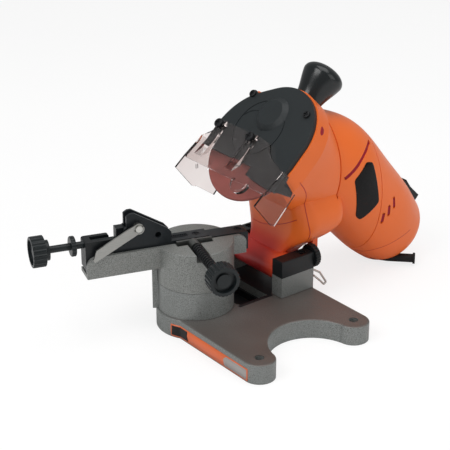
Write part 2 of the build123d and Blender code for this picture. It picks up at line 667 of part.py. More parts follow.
def clamp_spring():
    length = CLAMP_KNOB_O - SLEEVE_O1 - 2 * SPRING_WIRE - 0.2
    coil = spring(SPRING_R, SPRING_WIRE, 3.6, length)
    start = SLEEVE_O1 + SPRING_WIRE + 0.1
    return VISE * (Pos(start, CLAMP_S, CLAMP_Z) * Rot(0, 90, 0) * coil)


# ---------------------------------------------------------------- head housings
def barrel(inset=0.0):
    """Whole form of the motor housing, or its hollow at a given wall."""
    rings = [Pos(0, up, z) * Circle(r - inset) for z, up, r in BARREL_RINGS[:-1]]
    z, up, r = BARREL_RINGS[-1]
    rings.append(Pos(0, up, z + inset) * Circle(r - inset))
    body = loft(rings)
    end = body.edges().group_by(Axis.Z)[0]
    return HEAD.location * fillet(end, TAIL_ROUND - inset)


def half_space(y0, y1):
    return box(-150, 150, y0, y1, -100, 300)


def neck_hollow():
    """Hollow of the neck, closed below and under the gear room."""
    back = NECK_BACK - WALL
    low = Pos(0, back - 18, 62) * RectangleRounded(80 - 3 * WALL, 36, 12)
    high = Pos(0, back - 20, 90) * RectangleRounded(80 - 2 * WALL, 40, 13)
    return loft([low, high])


def neck_solid():
    """Neck from the housing down to the hinge barrel."""
    x0 = POST_IN_LEFT + SIDE_GAP
    x1 = POST_IN_RIGHT - SIDE_GAP
    middle = (x0 + x1) / 2
    crown = Pos(0, 104, 128) * RectangleRounded(78, 50, 16)
    top = Pos(0, 107.5, 98) * RectangleRounded(80, 55, 16)
    belly = Pos(0, 109, 68) * RectangleRounded(80, 52, 16)
    waist = Pos(middle, 99, 55) * RectangleRounded(x1 - x0, 38, 9)
    foot = Pos(middle, 79.5, HINGE_Z + 2) * RectangleRounded(x1 - x0, 24, 6)
    neck = loft([foot, waist, belly, top, crown])
    return neck + cyl_x(x0, x1, HINGE_Y, HINGE_Z, BARREL_R)


def cover_outline(grow=0.0):
    """Two rounds joined by their tangents, and an ear for the left screw."""
    rounds = Circle(COVER_R + grow).edges()
    rounds += (Pos(*COVER_LOBE) * Circle(COVER_LOBE_R + grow)).edges()
    return make_hull(rounds)


def ear(grow=0.0):
    return Pos(*COVER_SCREWS[0]) * Circle(COVER_EAR_R + grow)


def upper_solid(split_face):
    """Rim round the disc, drawn back to the outline of the motor housing."""
    outline = cover_outline(RIM_OUT) + ear(RIM_OUT)
    rim = Pos(0, 0, RIM_BACK) * extrude(outline, RIM_FACE - RIM_BACK)
    start = HEAD * Pos(0, 0, RIM_BACK + 1.5) * cover_outline(RIM_OUT - RIM_STEP)
    body = HEAD.location * rim + loft([start.face(), split_face])
    points = [HEAD.from_local_coords(Vector(0, up, back)) for up, back in (
        (RIM_CUT, 30), (RIM_CUT, MOUTH_FLOOR + 2), (BELLY_CUT, MOUTH_FLOOR), (BELLY_CUT, -46),
    )]
    outline = [(point.Y, point.Z) for point in points] + [(84, 86), (84, 20), (0, 20), (0, 150)]
    return body - slab(outline, -100, 100)


def gear_room():
    """Hollow for the drive, open to the motor bore, in the head frame."""
    room = cyl_z(0, 0, PLATE_BACK - 0.5, ROOM_FRONT, ROOM_R)
    room += cyl_z(0, MOTOR_UP, PLATE_BACK - 0.5, ROOM_FRONT, ROOM_R - 3)
    room += box(-ROOM_R + 3, ROOM_R - 3, 0, MOTOR_UP, PLATE_BACK - 0.5, ROOM_FRONT)
    room += cyl_z(0, MOTOR_UP, HOLLOW_FRONT - 5, PLATE_BACK + PLATE_T, PLATE_R + FIT)
    return room


def motor_hollow():
    """Hollow of both housings behind the gear plate, with the stator fins left in."""
    hollow = barrel(WALL) & (HEAD.location * box(-60, 60, -60, 120, -300, HOLLOW_FRONT))
    fin = box(STATOR_R + FIT, STATOR_R + 30, -STATOR_FIN_T / 2, STATOR_FIN_T / 2, 0, STATOR_L)
    fins = [Rot(0, 0, 45 + 90 * i) * fin for i in range(4)]
    place = Pos(0, MOTOR_UP, STATOR_FRONT - STATOR_L)
    for piece in fins:
        hollow -= HEAD.location * (place * piece)
    return hollow


def bulkhead():
    """Wall across the motor housing with the seat of the tail bearing."""
    z0 = BULKHEAD_FRONT - BULKHEAD_T
    wall = barrel(WALL - 0.5) & (HEAD.location * box(-60, 60, -60, 120, z0, BULKHEAD_FRONT))
    seat = cyl_z(0, MOTOR_UP, z0 + 1, BULKHEAD_FRONT + 1, SMALL_BRG_R + FIT)
    return wall - HEAD.location * (seat + cyl_z(0, MOTOR_UP, z0 - 1, z0 + 2, SPINDLE_R + 1))


def disc_mouth():
    """Mouth for the disc, with a boss for each cover screw left standing."""
    mouth = cyl_z(0, 0, MOUTH_FLOOR, RIM_FACE + 1, DISC_R + BLADE_ROOM)
    for x, y in COVER_SCREWS:
        mouth += cyl_z(x, y, MOUTH_FLOOR + 1, RIM_FACE + 1, COVER_SCREW_R + FIT)
    return mouth


def handle_seat():
    """Flat seat for the handle, across both housings."""
    seat = Rot(-90, 0, 0) * cyl_z(0, 0, 0, 20, HANDLE_FOOT_R + 1.0)
    return HEAD.location * (Pos(0, HANDLE_UP - 0.05, HANDLE_BACK) * seat)


def groove(y, width, depth):
    """Parting groove round the motor housing, across Y."""
    return half_space(y - width / 2, y + width / 2) - barrel(depth)


def flank_slots():
    """One long curved slot and three short ones, all in the right flank."""
    sheets = [Pos(0, 0) * trace(Spline(*LONG_SLOT), line_width=SLOT_W)]
    sheets += [
        Pos(*place) * SlotOverall(VENT_L + SLOT_W, SLOT_W, rotation=VENT_TURN)
        for place in VENTS
    ]
    prisms = [extrude(Plane.YZ.offset(10) * sheet, 60) for sheet in sheets]
    return [HEAD.location * prism - barrel(SLOT_DEEP) for prism in prisms]


def front_housing(blank):
    split_face = (blank & half_space(SPLIT_Y, 400)).faces().sort_by(Axis.Y)[0]
    rear = barrel(-0.05) & half_space(SPLIT_Y, 400)
    neck = neck_solid() - half_space(NECK_BACK, 400) - rear
    body = upper_solid(split_face) - half_space(SPLIT_Y, 400) + neck
    body -= groove(SPLIT_Y, SEAM_W, SEAM_DEEP) & barrel(-2.5)
    body -= motor_hollow()
    body -= neck_hollow()
    tools = gear_room() + disc_mouth()
    tools += cyl_z(0, 0, BIG_BRG_BACK - 3, BIG_BRG_BACK + BIG_BRG_T, BIG_BRG_R + FIT)
    tools += cyl_z(0, 0, BIG_BRG_BACK, MOUTH_FLOOR + 1, COLLAR_R + RUN)
    body -= HEAD.location * tools
    body -= cyl_x(POST_IN_LEFT - 1, POST_IN_RIGHT + 1, HINGE_Y, HINGE_Z, PIN_R + PIN_CLEAR)
    body -= cyl_x(SPRING_ROOM_X, POST_IN_RIGHT, HINGE_Y, HINGE_Z, SPRING_COIL_R + 1.8)
    body -= box(
        SPRING_ROOM_X, POST_IN_RIGHT, HINGE_Y, HINGE_Y + 40,
        HINGE_Z - BARREL_R - 2, HINGE_Z - SPRING_COIL_R + 2.5,
    )
    body -= handle_seat()
    return body + box(*STOP_X, *STOP_Y, *STOP_Z)


SPRING_ROOM_X = 12.5
STOP_X = (19.0, 25.5)     # heel that meets the depth wheel when the head is down
STOP_Y = (109.0, 115.0)
STOP_Z = (38.0, 62.0)


def rear_housing(blank):
    body = blank & half_space(SPLIT_Y + 0.05, 400)
    body = body - motor_hollow() - HEAD.location * gear_room() + bulkhead()
    half = SWITCH_W / 2 - 1
    sink = MOTOR_UP + SWITCH_SINK
    body -= HEAD.location * box(-half, half, sink, MOTOR_UP + 60, SWITCH_Z0, SWITCH_Z1)
    body -= guard_path_solid(GUARD_R + FIT)
    body -= handle_seat()
    body -= groove(SPLIT_Y, SEAM_W, SEAM_DEEP)
    body -= groove(BAND_Y, BAND_W, BAND_DEEP)
    return body - flank_slots()


def gear_plate():
    """Aluminium plate with the two inner bearings."""
    plate = cyl_z(0, 0, PLATE_BACK, PLATE_BACK + PLATE_T, ROOM_R - RUN)
    plate += cyl_z(0, MOTOR_UP, PLATE_BACK, PLATE_BACK + PLATE_T, PLATE_R)
    for y in (0, MOTOR_UP):
        plate -= cyl_z(0, y, PLATE_BACK - 1, PLATE_BACK + PLATE_T + 1, SMALL_BRG_R + FIT)
    return HEAD.location * plate


def disc_cover():
    """Black cover in front of the disc: open below, domed, with a wing on the right."""
    keep = Pos(0, COVER_CUT + 70) * Rectangle(4 * COVER_R, 140)
    face = (cover_outline() + ear()) & keep
    cover = Pos(0, 0, RIM_FACE + 0.05) * extrude(face, COVER_FACE - RIM_FACE - 0.05)
    cover -= cyl_z(0, 0, RIM_FACE - 1, COVER_FACE - COVER_WALL, COVER_HOLLOW_R)
    wing = Polygon(
        (14, COVER_CUT + 2), (14, -27), (22, -28.4), (42, -30.3), (COVER_SIDE, -30),
        (COVER_SIDE, -13.5), (50.5, -8), (40, -8),
        align=None,
    )
    cover += Pos(0, 0, COVER_FACE - COVER_WING_T) * extrude(wing, COVER_WING_T)
    wedge = [(-13.5, 7.6), (-13.5, 3.3), (-16.2, 3.3), (-19.5, -10), (-24, -11.5), (-29.5, 7.6)]
    cover += slab(wedge, COVER_SIDE - 1.3, COVER_SIDE)
    floor = COVER_FACE - MARK_DEEP
    cover -= cyl_z(-15.5, 12.5, floor, COVER_FACE + 1, 16)
    cover -= ring_z(-4.5, 14.7, floor, COVER_FACE + 1, 26.5, 25.5)
    dome = Cone(DOME_R, DOME_R - 5, DOME_H + MARK_DEEP)
    cover += Pos(0, DOME_UP, COVER_FACE + (DOME_H - MARK_DEEP) / 2) * dome
    for x, y in COVER_SCREWS:
        cover -= cyl_z(x, y, RIM_FACE - 2, COVER_FACE + 2, COVER_SCREW_R + 0.2)
    for x in SHIELD_SCREWS:
        cover -= cyl_z(x, SHIELD_SCREW_UP, COVER_FACE - 5, COVER_FACE + 2, SHIELD_SCREW_R + FIT)
    return HEAD.location * cover


def screw(x, y, seat, length, shank_r, head_r, head_t):
    """Round-head screw along the head frame's z, seated at z = seat."""
    body = cyl_z(x, y, seat - length, seat + 0.5, shank_r)
    body += cyl_z(x, y, seat, seat + head_t, head_r)
    rim = body.edges().filter_by(GeomType.CIRCLE).group_by(Axis.Z)[-1]
    body = fillet(rim, 0.45 * head_t)
    slot = seat + 0.5 * head_t
    body -= box(x - 0.7 * head_r, x + 0.7 * head_r, y - 0.45, y + 0.45, slot, seat + head_t + 1)
    body -= box(x - 0.45, x + 0.45, y - 0.7 * head_r, y + 0.7 * head_r, slot, seat + head_t + 1)
    return HEAD.location * body


def cover_screws():
    seat = COVER_FACE + 0.05
    length = COVER_FACE - MOUTH_FLOOR - 2
    return Compound(children=[
        screw(x, y, seat, length, COVER_SCREW_R, COVER_HEAD_R, 2.0)
        for x, y in COVER_SCREWS
    ])


def shield():
    """Clear guard: a panel that leans out below, two slotted ribs and a wall each side."""
    out = SHIELD_IN + SHIELD_T
    front = SHIELD_FACE + SHIELD_T
    low = SHIELD_FACE + SHIELD_LEAN
    panel = slab([
        (SHIELD_UP, SHIELD_FACE), (SHIELD_UP, front), (SHIELD_BEND, front),
        (SHIELD_DOWN, low + SHIELD_T), (SHIELD_DOWN, low), (SHIELD_BEND, SHIELD_FACE),
    ], -out, out)
    outline = Polygon(
        (-39, SHIELD_UP), (11, SHIELD_UP - 0.5), (23.5, 4.2), (26.5, 0.5), (28.5, -2.5),
        (34, -6), (42, -9.2), (out, -13.4), (out, SHIELD_DOWN), (-out, SHIELD_DOWN),
        (-out, -12.5), (-47, -6),
        align=None,
    )
    body = panel & extrude(outline, 30, both=True)
    side = [
        (-12.6, front), (SHIELD_BEND, front), (SHIELD_DOWN, low + SHIELD_T), (-49, 18.6),
        (-52.5, -9), (-51, -12.6), (SHIELD_WALL_UP, -12.6), (SHIELD_WALL_UP, RIM_FACE),
        (-12.6, RIM_FACE + 1.5),
    ]
    body += slab(side, SHIELD_IN, out) + slab(side, -out, -SHIELD_IN)
    body += box(-SHIELD_IN - 0.5, -27, -50.5, -33.5, -12.6, -11.0)
    body += box(-out, out, SHIELD_DOWN - 1, SHIELD_DOWN + 0.5, low - 1, low + SHIELD_T)
    x, y = SHIELD_LUG
    lug = cyl_z(x, y, low, low + SHIELD_T, SHIELD_LUG_R)
    lug += ring_z(x, y, low, low + 3.4, SHIELD_LUG_R, SHIELD_LUG_R - 2)
    body += lug & box(x - 20, x + 20, y - 20, SHIELD_DOWN + 0.4, 0, 30)
    rib = [
        (SHIELD_UP, COVER_FACE + RUN), (SHIELD_UP, SHIELD_FACE + 0.5), (SHIELD_BEND, SHIELD_FACE + 0.5),
        (-30, low - 0.5), (-30, low - 2), (-22, COVER_FACE + RUN),
    ]
    for x in SHIELD_SCREWS:
        body += slab(rib, x - 4.5, x + 4.5)
        slot = SlotCenterToCenter(SHIELD_TRAVEL, 2 * SHIELD_SCREW_R + 0.6, rotation=90)
        slot = Pos(x, SHIELD_SCREW_UP - SHIELD_TRAVEL / 2, COVER_FACE) * slot
        body -= extrude(slot, 10)
    return HEAD.location * body


def shield_screws():
    seat = SHIELD_FACE + SHIELD_T + 0.15
    length = seat - COVER_FACE + 1.5
    return Compound(children=[
        screw(x, SHIELD_SCREW_UP, seat, length, SHIELD_SCREW_R, SHIELD_HEAD_R, 3.0)
        for x in SHIELD_SCREWS
    ])


def handle():
    """Bell-shaped grip above the rim."""
    foot = HANDLE_FOOT_R
    top = HANDLE_TOP_R
    side = Bezier((foot, 0), (foot + 0.5, 8), (top - 2, 15), (top, HANDLE_L - 11))
    dome = Bezier((top, HANDLE_L - 11), (top + 0.8, HANDLE_L - 4), (top - 8, HANDLE_L), (0, HANDLE_L))
    axis = Polyline((0, HANDLE_L), (0, 0), (foot, 0))
    knob = revolve(Plane.XZ * make_face(side + dome + axis), Axis.Z)
    place = Pos(0, HANDLE_UP, HANDLE_BACK) * Rot(-90, 0, 0)
    return HEAD.location * (place * knob)


# ---------------------------------------------------------------- disc and drive
def grinding_disc():
    disc = cyl_z(0, 0, -DISC_T / 2, DISC_T / 2, DISC_R)
    rims = disc.edges().filter_by(GeomType.CIRCLE)
    disc = fillet(rims, 0.8)
    return HEAD.location * (disc - cyl_z(0, 0, -5, 5, PILOT_R + FIT))


def spindle():
    """Disc spindle with its collar, inner flange and pilot, turned in one piece."""
    half = DISC_T / 2
    rod = cyl_z(0, 0, PLATE_BACK - 0.2, -half, SPINDLE_R - FIT)
    collar = cyl_z(0, 0, BIG_BRG_BACK + BIG_BRG_T, -half, COLLAR_R)
    flange = cyl_z(0, 0, -half - FLANGE_T, -half, FLANGE_R)
    pilot = cyl_z(0, 0, -half - 1, half - 0.2, PILOT_R)
    thread = cyl_z(0, 0, 0, half + CAP_FLANGE_T + NUT_T + 0.2, SPINDLE_R - FIT)
    return HEAD.location * (rod + collar + flange + pilot + thread)


def outer_flange():
    half = DISC_T / 2
    flange = ring_z(0, 0, half + 0.02, half + CAP_FLANGE_T, FLANGE_R, SPINDLE_R)
    return HEAD.location * flange


def spindle_nut():
    seat = DISC_T / 2 + CAP_FLANGE_T + 0.02
    nut = extrude(Pos(0, 0, seat) * RegularPolygon(NUT_R, 6), NUT_T)
    return HEAD.location * (nut - cyl_z(0, 0, 0, 20, SPINDLE_R))


def drive_gear():
    return HEAD.location * gear(GEAR_TEETH, GEAR_T, GEAR_BACK, SPINDLE_R)


def spindle_bearing():
    ring = ring_z(0, 0, BIG_BRG_BACK, BIG_BRG_BACK + BIG_BRG_T - 0.05, BIG_BRG_R, SPINDLE_R + FIT)
    return HEAD.location * ring


def small_bearings():
    """Three equal bearings: spindle rear, armature front and armature rear."""
    tail = BULKHEAD_FRONT - SMALL_BRG_T
    places = ((0, PLATE_BACK), (MOTOR_UP, PLATE_BACK), (MOTOR_UP, tail))
    return Compound(children=[
        HEAD.location * ring_z(0, y, z, z + SMALL_BRG_T - 0.05, SMALL_BRG_R, SPINDLE_R + FIT)
        for y, z in places
    ])


def armature():
    """Motor shaft with pinion, fan, laminated core and commutator."""
    core = STATOR_FRONT - STATOR_L / 2
    body = cyl_z(0, 0, BULKHEAD_FRONT - SMALL_BRG_T, GEAR_BACK + GEAR_T + 1, SPINDLE_R - FIT)
    body += cyl_z(0, 0, core - CORE_L / 2, core + CORE_L / 2, CORE_R)
    body += cyl_z(0, 0, core - CORE_L / 2 - 5, core + CORE_L / 2 + 5, CORE_R - 3)
    body += cyl_z(0, 0, COMM_FRONT - COMM_L, COMM_FRONT, COMM_R)
    hub = cyl_z(0, 0, FAN_FRONT - FAN_T, FAN_FRONT, 7)
    hub += cyl_z(0, 0, FAN_FRONT - FAN_T, FAN_FRONT - FAN_T + 1.5, FAN_R)
    blade = box(6, FAN_R, -0.8, 0.8, FAN_FRONT - FAN_T + 1, FAN_FRONT)
    hub += [Rot(0, 0, 360 / FAN_BLADES * i) * blade for i in range(FAN_BLADES)]
    body += hub
    turn = Rot(0, 0, 360 / PINION_TEETH / 2)
    teeth = turn * gear(PINION_TEETH, PINION_T, GEAR_BACK - 0.5, SPINDLE_R - 1)
    return HEAD.location * (Pos(0, MOTOR_UP, 0) * (body + teeth))


def field_stator():
    back = STATOR_FRONT - STATOR_L
    body = ring_z(0, 0, back, STATOR_FRONT, STATOR_R, STATOR_BORE_R)
    middle = (STATOR_R + STATOR_BORE_R) / 2
    wide = STATOR_BORE_R
    for side in (-1, 1):
        coil = box(-wide, wide, -3.5, 3.5, back - COIL_OVER, STATOR_FRONT + COIL_OVER)
        body += Pos(0, side * middle, 0) * coil
    return HEAD.location * (Pos(0, MOTOR_UP, 0) * body)


def brush_holders():
    group = []
    middle = COMM_FRONT - COMM_L / 2
    foot = BULKHEAD_FRONT + 0.02
    for side in (0, 180):
        holder = box(
            COMM_R + RUN, COMM_R + RUN + BRUSH_L, -BRUSH_W / 2, BRUSH_W / 2,
            middle - BRUSH_W / 2, middle + BRUSH_W / 2,
        )
        holder += box(
            COMM_R + 4, COMM_R + BRUSH_L, -BRUSH_W / 2, BRUSH_W / 2, foot, middle,
        )
        group.append(HEAD.location * (Pos(0, MOTOR_UP, 0) * Rot(0, 0, side) * holder))
    return Compound(children=group)


def switch_frame():
    """Frame of the rocker switch, let into the top of the motor housing."""
    w = SWITCH_W / 2 - 1 - FIT
    top = MOTOR_UP + SWITCH_TOP
    body = box(-w, w, MOTOR_UP + SWITCH_SINK + 0.05, top, SWITCH_Z0 + FIT, SWITCH_Z1 - FIT)
    body -= box(-w + 2, w - 2, top - ROCKER_DEEP, top + 1, SWITCH_Z0 + 2, SWITCH_Z1 - 2)
    middle = (SWITCH_Z0 + SWITCH_Z1) / 2
    body -= cyl_x(-w + 0.8, w - 0.8, top - ROCKER_PIN_UP, middle, ROCKER_PIN_R + 0.05)
    return HEAD.location * body


def switch_rocker():
    """Rocker on a cross axis: a shallow V on top, so that one end stands proud."""
    w = SWITCH_W / 2 - 1 - 2 - RUN
    top = MOTOR_UP + SWITCH_TOP
    middle = (SWITCH_Z0 + SWITCH_Z1) / 2
    half = (SWITCH_Z1 - SWITCH_Z0) / 2 - 2.6
    rise = half * tan(radians(ROCKER_TILT))
    profile = [
        (top - 3.4, middle - half + 1), (top - 3.4, middle + half - 1),
        (top + rise, middle + half), (top + 0.6, middle), (top + rise, middle - half),
    ]
    rocker = slab(profile, -w, w)
    pivot = Pos(0, top - ROCKER_PIN_UP, middle)
    rocker = pivot * (Rot(-ROCKER_TILT, 0, 0) * (pivot.inverse() * rocker))
    rocker += cyl_x(-w - 1.1, w + 1.1, top - ROCKER_PIN_UP, middle, ROCKER_PIN_R)
    return HEAD.location * rocker


GUARD_PATH = (
    (9.0, 184.0, 19.0), (13.0, 198.0, 9.0), (20.0, 209.0, 6.4), (38.0, 227.0, 6.4),
)


def guard_path_solid(radius):
    path = FilletPolyline(*GUARD_PATH, radius=9)
    return sweep(Plane(origin=path @ 0, z_dir=path % 0) * Circle(radius), path=path)


def cord_guard():
    """Hollow rubber sleeve where the supply cord leaves the housing."""
    path = FilletPolyline(*GUARD_PATH, radius=9)
    sleeve = sweep(Plane(origin=path @ 0, z_dir=path % 0) * Circle(GUARD_R), path=path)
    end = Plane(origin=path @ 1, z_dir=path % 1)
    sleeve += extrude(end * Circle(GUARD_LIP_R), -2.0)
    bore = extrude(end * Circle(GUARD_R - 1.6), -14.0)
    return sleeve - bore


# ---------------------------------------------------------------- write
def build():
    left = (POST_IN_LEFT - POST_T, POST_IN_LEFT)
    right = (POST_IN_RIGHT, POST_IN_RIGHT + POST_T)
    blank = barrel()
    return {
        "base_casting": base_casting(),
        "dust_tray": dust_tray(),
        "hinge_cap_left": hinge_cap(*left),
        "hinge_cap_right": hinge_cap(*right),
        "cap_screws": cap_screws(),
        "hinge_pin": hinge_pin(),
        "depth_wheel": depth_wheel(),
        "return_spring": return_spring(),
        "vise_turret": vise_turret(),
        "swivel_bolt": swivel_bolt(),
        "angle_lock_knob": angle_lock_knob(),
        "lock_washer": lock_washer(),
        "rail_body": rail_body(),
        "rail_screws": rail_screws(),
        "end_block": end_block(),
        "feed_screw": feed_screw(),
        "lock_nut": lock_nut(),
        "stop_carrier": stop_carrier(),
        "stop_pawl": stop_pawl(),
        "pawl_pin": pawl_pin(),
        "front_jaw": front_jaw(),
        "clamp_screw": clamp_screw(),
        "clamp_spring": clamp_spring(),
        "front_housing": front_housing(blank),
        "rear_housing": rear_housing(blank),
        "gear_plate": gear_plate(),
        "disc_cover": disc_cover(),
        "cover_screws": cover_screws(),
        "shield": shield(),
        "shield_screws": shield_screws(),
        "handle": handle(),
        "grinding_disc": grinding_disc(),
        "spindle": spindle(),
        "outer_flange": outer_flange(),
        "spindle_nut": spindle_nut(),
        "drive_gear": drive_gear(),
        "spindle_bearing": spindle_bearing(),
        "small_bearings": small_bearings(),
        "armature": armature(),
        "field_stator": field_stator(),
        "brush_holders": brush_holders(),
        "switch_frame": switch_frame(),
        "switch_rocker": switch_rocker(),
        "cord_guard": cord_guard(),
    }


os.makedirs("parts", exist_ok=True)
for name, shape in build().items():
    export_step(shape, f"parts/{name}.step")
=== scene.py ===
import math

import bpy
from mathutils import Matrix, Vector
from mathutils.bvhtree import BVHTree


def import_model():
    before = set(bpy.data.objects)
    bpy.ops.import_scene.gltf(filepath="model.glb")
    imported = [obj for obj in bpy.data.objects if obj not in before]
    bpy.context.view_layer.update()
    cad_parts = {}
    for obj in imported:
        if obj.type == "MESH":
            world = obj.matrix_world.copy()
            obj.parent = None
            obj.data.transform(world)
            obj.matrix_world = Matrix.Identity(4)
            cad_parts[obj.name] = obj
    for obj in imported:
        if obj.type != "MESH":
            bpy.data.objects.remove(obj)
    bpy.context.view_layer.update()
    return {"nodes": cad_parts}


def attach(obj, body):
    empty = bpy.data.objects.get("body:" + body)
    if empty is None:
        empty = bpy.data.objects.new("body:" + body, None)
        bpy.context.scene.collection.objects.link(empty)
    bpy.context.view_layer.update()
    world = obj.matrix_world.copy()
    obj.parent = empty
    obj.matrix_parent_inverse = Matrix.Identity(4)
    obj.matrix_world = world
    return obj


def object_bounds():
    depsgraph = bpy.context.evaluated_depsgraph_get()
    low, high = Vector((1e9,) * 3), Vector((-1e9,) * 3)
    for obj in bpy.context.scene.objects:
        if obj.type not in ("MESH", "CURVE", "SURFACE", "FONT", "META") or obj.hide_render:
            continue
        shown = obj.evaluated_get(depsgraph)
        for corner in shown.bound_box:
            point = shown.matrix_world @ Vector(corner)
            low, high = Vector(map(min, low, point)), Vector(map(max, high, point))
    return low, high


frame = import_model()
nodes = frame["nodes"]
MM = 0.001
WHITE = (1, 1, 1, 1)

# The head leans back: its own x, up and axis directions, from the disc centre.
# The vise is turned about the upright axis at the origin.
TILT = math.radians(44)
HEAD = Matrix((
    (1, 0, 0, 0.002),
    (0, math.sin(TILT), -math.cos(TILT), 0.0651),
    (0, math.cos(TILT), math.sin(TILT), 0.1439),
    (0, 0, 0, 1),
))
VISE = Matrix.Rotation(math.radians(-17.5), 4, "Z")
LEFTWARD = (-1, 0, 0)
BACKWARD = (0, 1, 0)

CAMERA_PLACE = (0.80734, -0.59927, 0.54625)
CAMERA_TURN = (math.radians(65.6), 0, math.radians(52))
CAMERA_LENS = 106.0
CAMERA_SENSOR = 36.0


def placed(name, data):
    """An object for some data, linked into the scene."""
    made = bpy.data.objects.new(name, data)
    bpy.context.collection.objects.link(made)
    return made


def set_camera():
    data = bpy.data.cameras.new("camera")
    data.lens = CAMERA_LENS
    data.sensor_width = CAMERA_SENSOR
    camera = placed("camera", data)
    camera.location = CAMERA_PLACE
    camera.rotation_euler = CAMERA_TURN
    bpy.context.scene.camera = camera
    bpy.context.scene.view_settings.view_transform = "Standard"


set_camera()


# ------------------------------------------------------------------ node trees
class Value:
    """One output of a node tree; arithmetic on it adds Math nodes."""

    def __init__(self, tree, socket):
        self.tree = tree
        self.socket = socket

    def math(self, operation, *values):
        return self.tree.add("Math", {"operation": operation}, dict(enumerate(values)))

    def __add__(self, other):
        return self.math("ADD", self, other)

    __radd__ = __add__

    def __sub__(self, other):
        return self.math("SUBTRACT", self, other)

    def __rsub__(self, other):
        return self.math("SUBTRACT", other, self)

    def __mul__(self, other):
        return self.math("MULTIPLY", self, other)

    __rmul__ = __mul__

    def __or__(self, other):
        """The larger of the two."""
        return self.math("MAXIMUM", self, other)

    def wave(self):
        return self.math("SINE", self)

    def between(self, low, high):
        """0 below low, 1 above high, smooth in between."""
        return self.tree.add("MapRange", {"interpolation_type": "SMOOTHSTEP"},
                             {"Value": self, "From Min": low, "From Max": high})

    def spread(self, low, high):
        """A value from 0 to 1, spread over low to high."""
        return self * (high - low) + low


class Tree:
    """A node tree: add makes its nodes, and feed links or sets their inputs."""

    def __init__(self, tree, family):
        self.tree = tree
        self.family = family

    def feed(self, socket, value):
        if isinstance(value, Value):
            self.tree.links.new(value.socket, socket)
        else:
            socket.default_value = value

    def add(self, kind, settings=None, inputs=None, output=0):
        """Any node of the family: its settings first, then its inputs; gives one output."""
        made = self.tree.nodes.new(self.family + kind)
        for key, value in (settings or {}).items():
            if key == "stops":
                self.set_stops(made.color_ramp, value)
            else:
                setattr(made, key, value)
        for key, value in (inputs or {}).items():
            self.feed(made.inputs[key], value)
        return Value(self, made.outputs[output])

    def set_stops(self, ramp, stops):
        while len(ramp.elements) < len(stops):
            ramp.elements.new(0.5)
        for element, (position, color) in zip(ramp.elements, stops):
            element.position = position
            element.color = color

    def seen(self):
        """1 for what the camera sees, straight or through a clear piece; else 0."""
        straight = self.add("LightPath", output="Is Camera Ray")
        return straight | self.add("LightPath", output="Is Transmission Ray")


# ------------------------------------------------------------------ finishes
def screen(red, green, blue):
    """A colour given in screen values from 0 to 255, as linear light."""
    def one(value):
        value /= 255
        return value / 12.92 if value <= 0.04045 else ((value + 0.055) / 1.055) ** 2.4
    return one(red), one(green), one(blue), 1.0


def toned(color, factor):
    return tuple(channel * factor for channel in color[:3]) + (1.0,)


ORANGE = screen(238, 112, 44)
# Painted shade and a painted red reflection for the lower neck, in two steps.
NECK_SHADE_ORANGE = screen(222, 60, 34)
NECK_SHADE_RED = screen(168, 24, 48)
# Painted shade in the moulded creases.
CREASE_SHADE = screen(188, 48, 26)
# Painted shade in the moulded slots and recesses.
SHADE_CRIMSON = screen(150, 26, 44)
GRIT = screen(134, 74, 68)

# Where painted shade and a painted red reflection deepen the housing's colour, in metres:
# low on the neck and in front of its back, and most of all at the left.
NECK_SHADE_BACK_Y = (0.112, 0.130)
NECK_SHADE_LOW_Z = (0.024, 0.074)
NECK_SHADE_LEFT_Z = (0.050, 0.078)
NECK_SHADE_LEFT_X = (0.004, 0.034)

# The base plate's upper face, from just under to just over it, and where a painted
# reflection of the orange head tinges it brown, growing towards the lobes, in metres.
PLATE_RISE_Z = (0.0160, 0.0168)
PLATE_FALL_Z = (0.0175, 0.0185)
REFLECTION_X = (-0.02, 0.05)


class Finish(Tree):
    """One surface finish, worked out from places on the object itself."""

    def __init__(self, name, rough=0.5, metal=0.0, **more):
        self.material = bpy.data.materials.new(name)
        self.material.use_nodes = True
        super().__init__(self.material.node_tree, "ShaderNode")
        self.shader = self.tree.nodes["Principled BSDF"]
        self.shader.inputs["Roughness"].default_value = rough
        self.shader.inputs["Metallic"].default_value = metal
        for key, value in more.items():
            self.shader.inputs[key.replace("_", " ")].default_value = value
        self.place = self.add("TexCoord", output="Object")
        self.relief = None

    def axes(self):
        """The place on the object as three values."""
        return [self.add("SeparateXYZ", None, {"Vector": self.place}, axis) for axis in "XYZ"]

    def noise(self, scale, detail=3.0, rough=0.5, where=None):
        return self.add("TexNoise", None, {
            "Vector": where or self.place, "Scale": scale, "Detail": detail, "Roughness": rough,
        })

    def cells(self, scale):
        return self.add("TexVoronoi", None, {"Vector": self.place, "Scale": scale})

    def drawn(self, scale, turn=(0, 0, 0)):
        """Places turned and stretched, for brushed, drawn or turned marks."""
        return self.add("Mapping", None, {
            "Vector": self.place, "Scale": scale, "Rotation": turn,
        })

    def ramp(self, value, stops):
        return self.add("ValToRGB", {"stops": stops}, {"Fac": value})

    def mix(self, value, first, second):
        return self.add("Mix", {"data_type": "RGBA"}, {0: value, 6: first, 7: second}, 2)

    def color(self, value):
        self.feed(self.shader.inputs["Base Color"], value)
        return self

    def rough(self, value):
        self.feed(self.shader.inputs["Roughness"], value)
        return self

    def raised(self, height, depth):
        """Relief of a depth in mm, on top of what is there already."""
        inputs = {"Height": height, "Distance": depth * MM, "Strength": 1.0}
        if self.relief is not None:
            inputs["Normal"] = self.relief
        self.relief = self.add("Bump", None, inputs)
        self.feed(self.shader.inputs["Normal"], self.relief)
        return self


def moulded(name, color, rough=0.42, grain=0.03, drift=0.08, **more):
    """Injection-moulded plastic: slow drift of colour and a fine eroded grain."""
    finish = Finish(name, rough, **more)
    slow = finish.noise(28, 4)
    finish.color(finish.ramp(slow, [
        (0.3, toned(color, 1 - drift)), (0.7, toned(color, 1 + drift)),
    ]))
    finish.rough(finish.noise(160).spread(rough - 0.08, rough + 0.08))
    return finish.raised(finish.noise(2600, 2), grain)


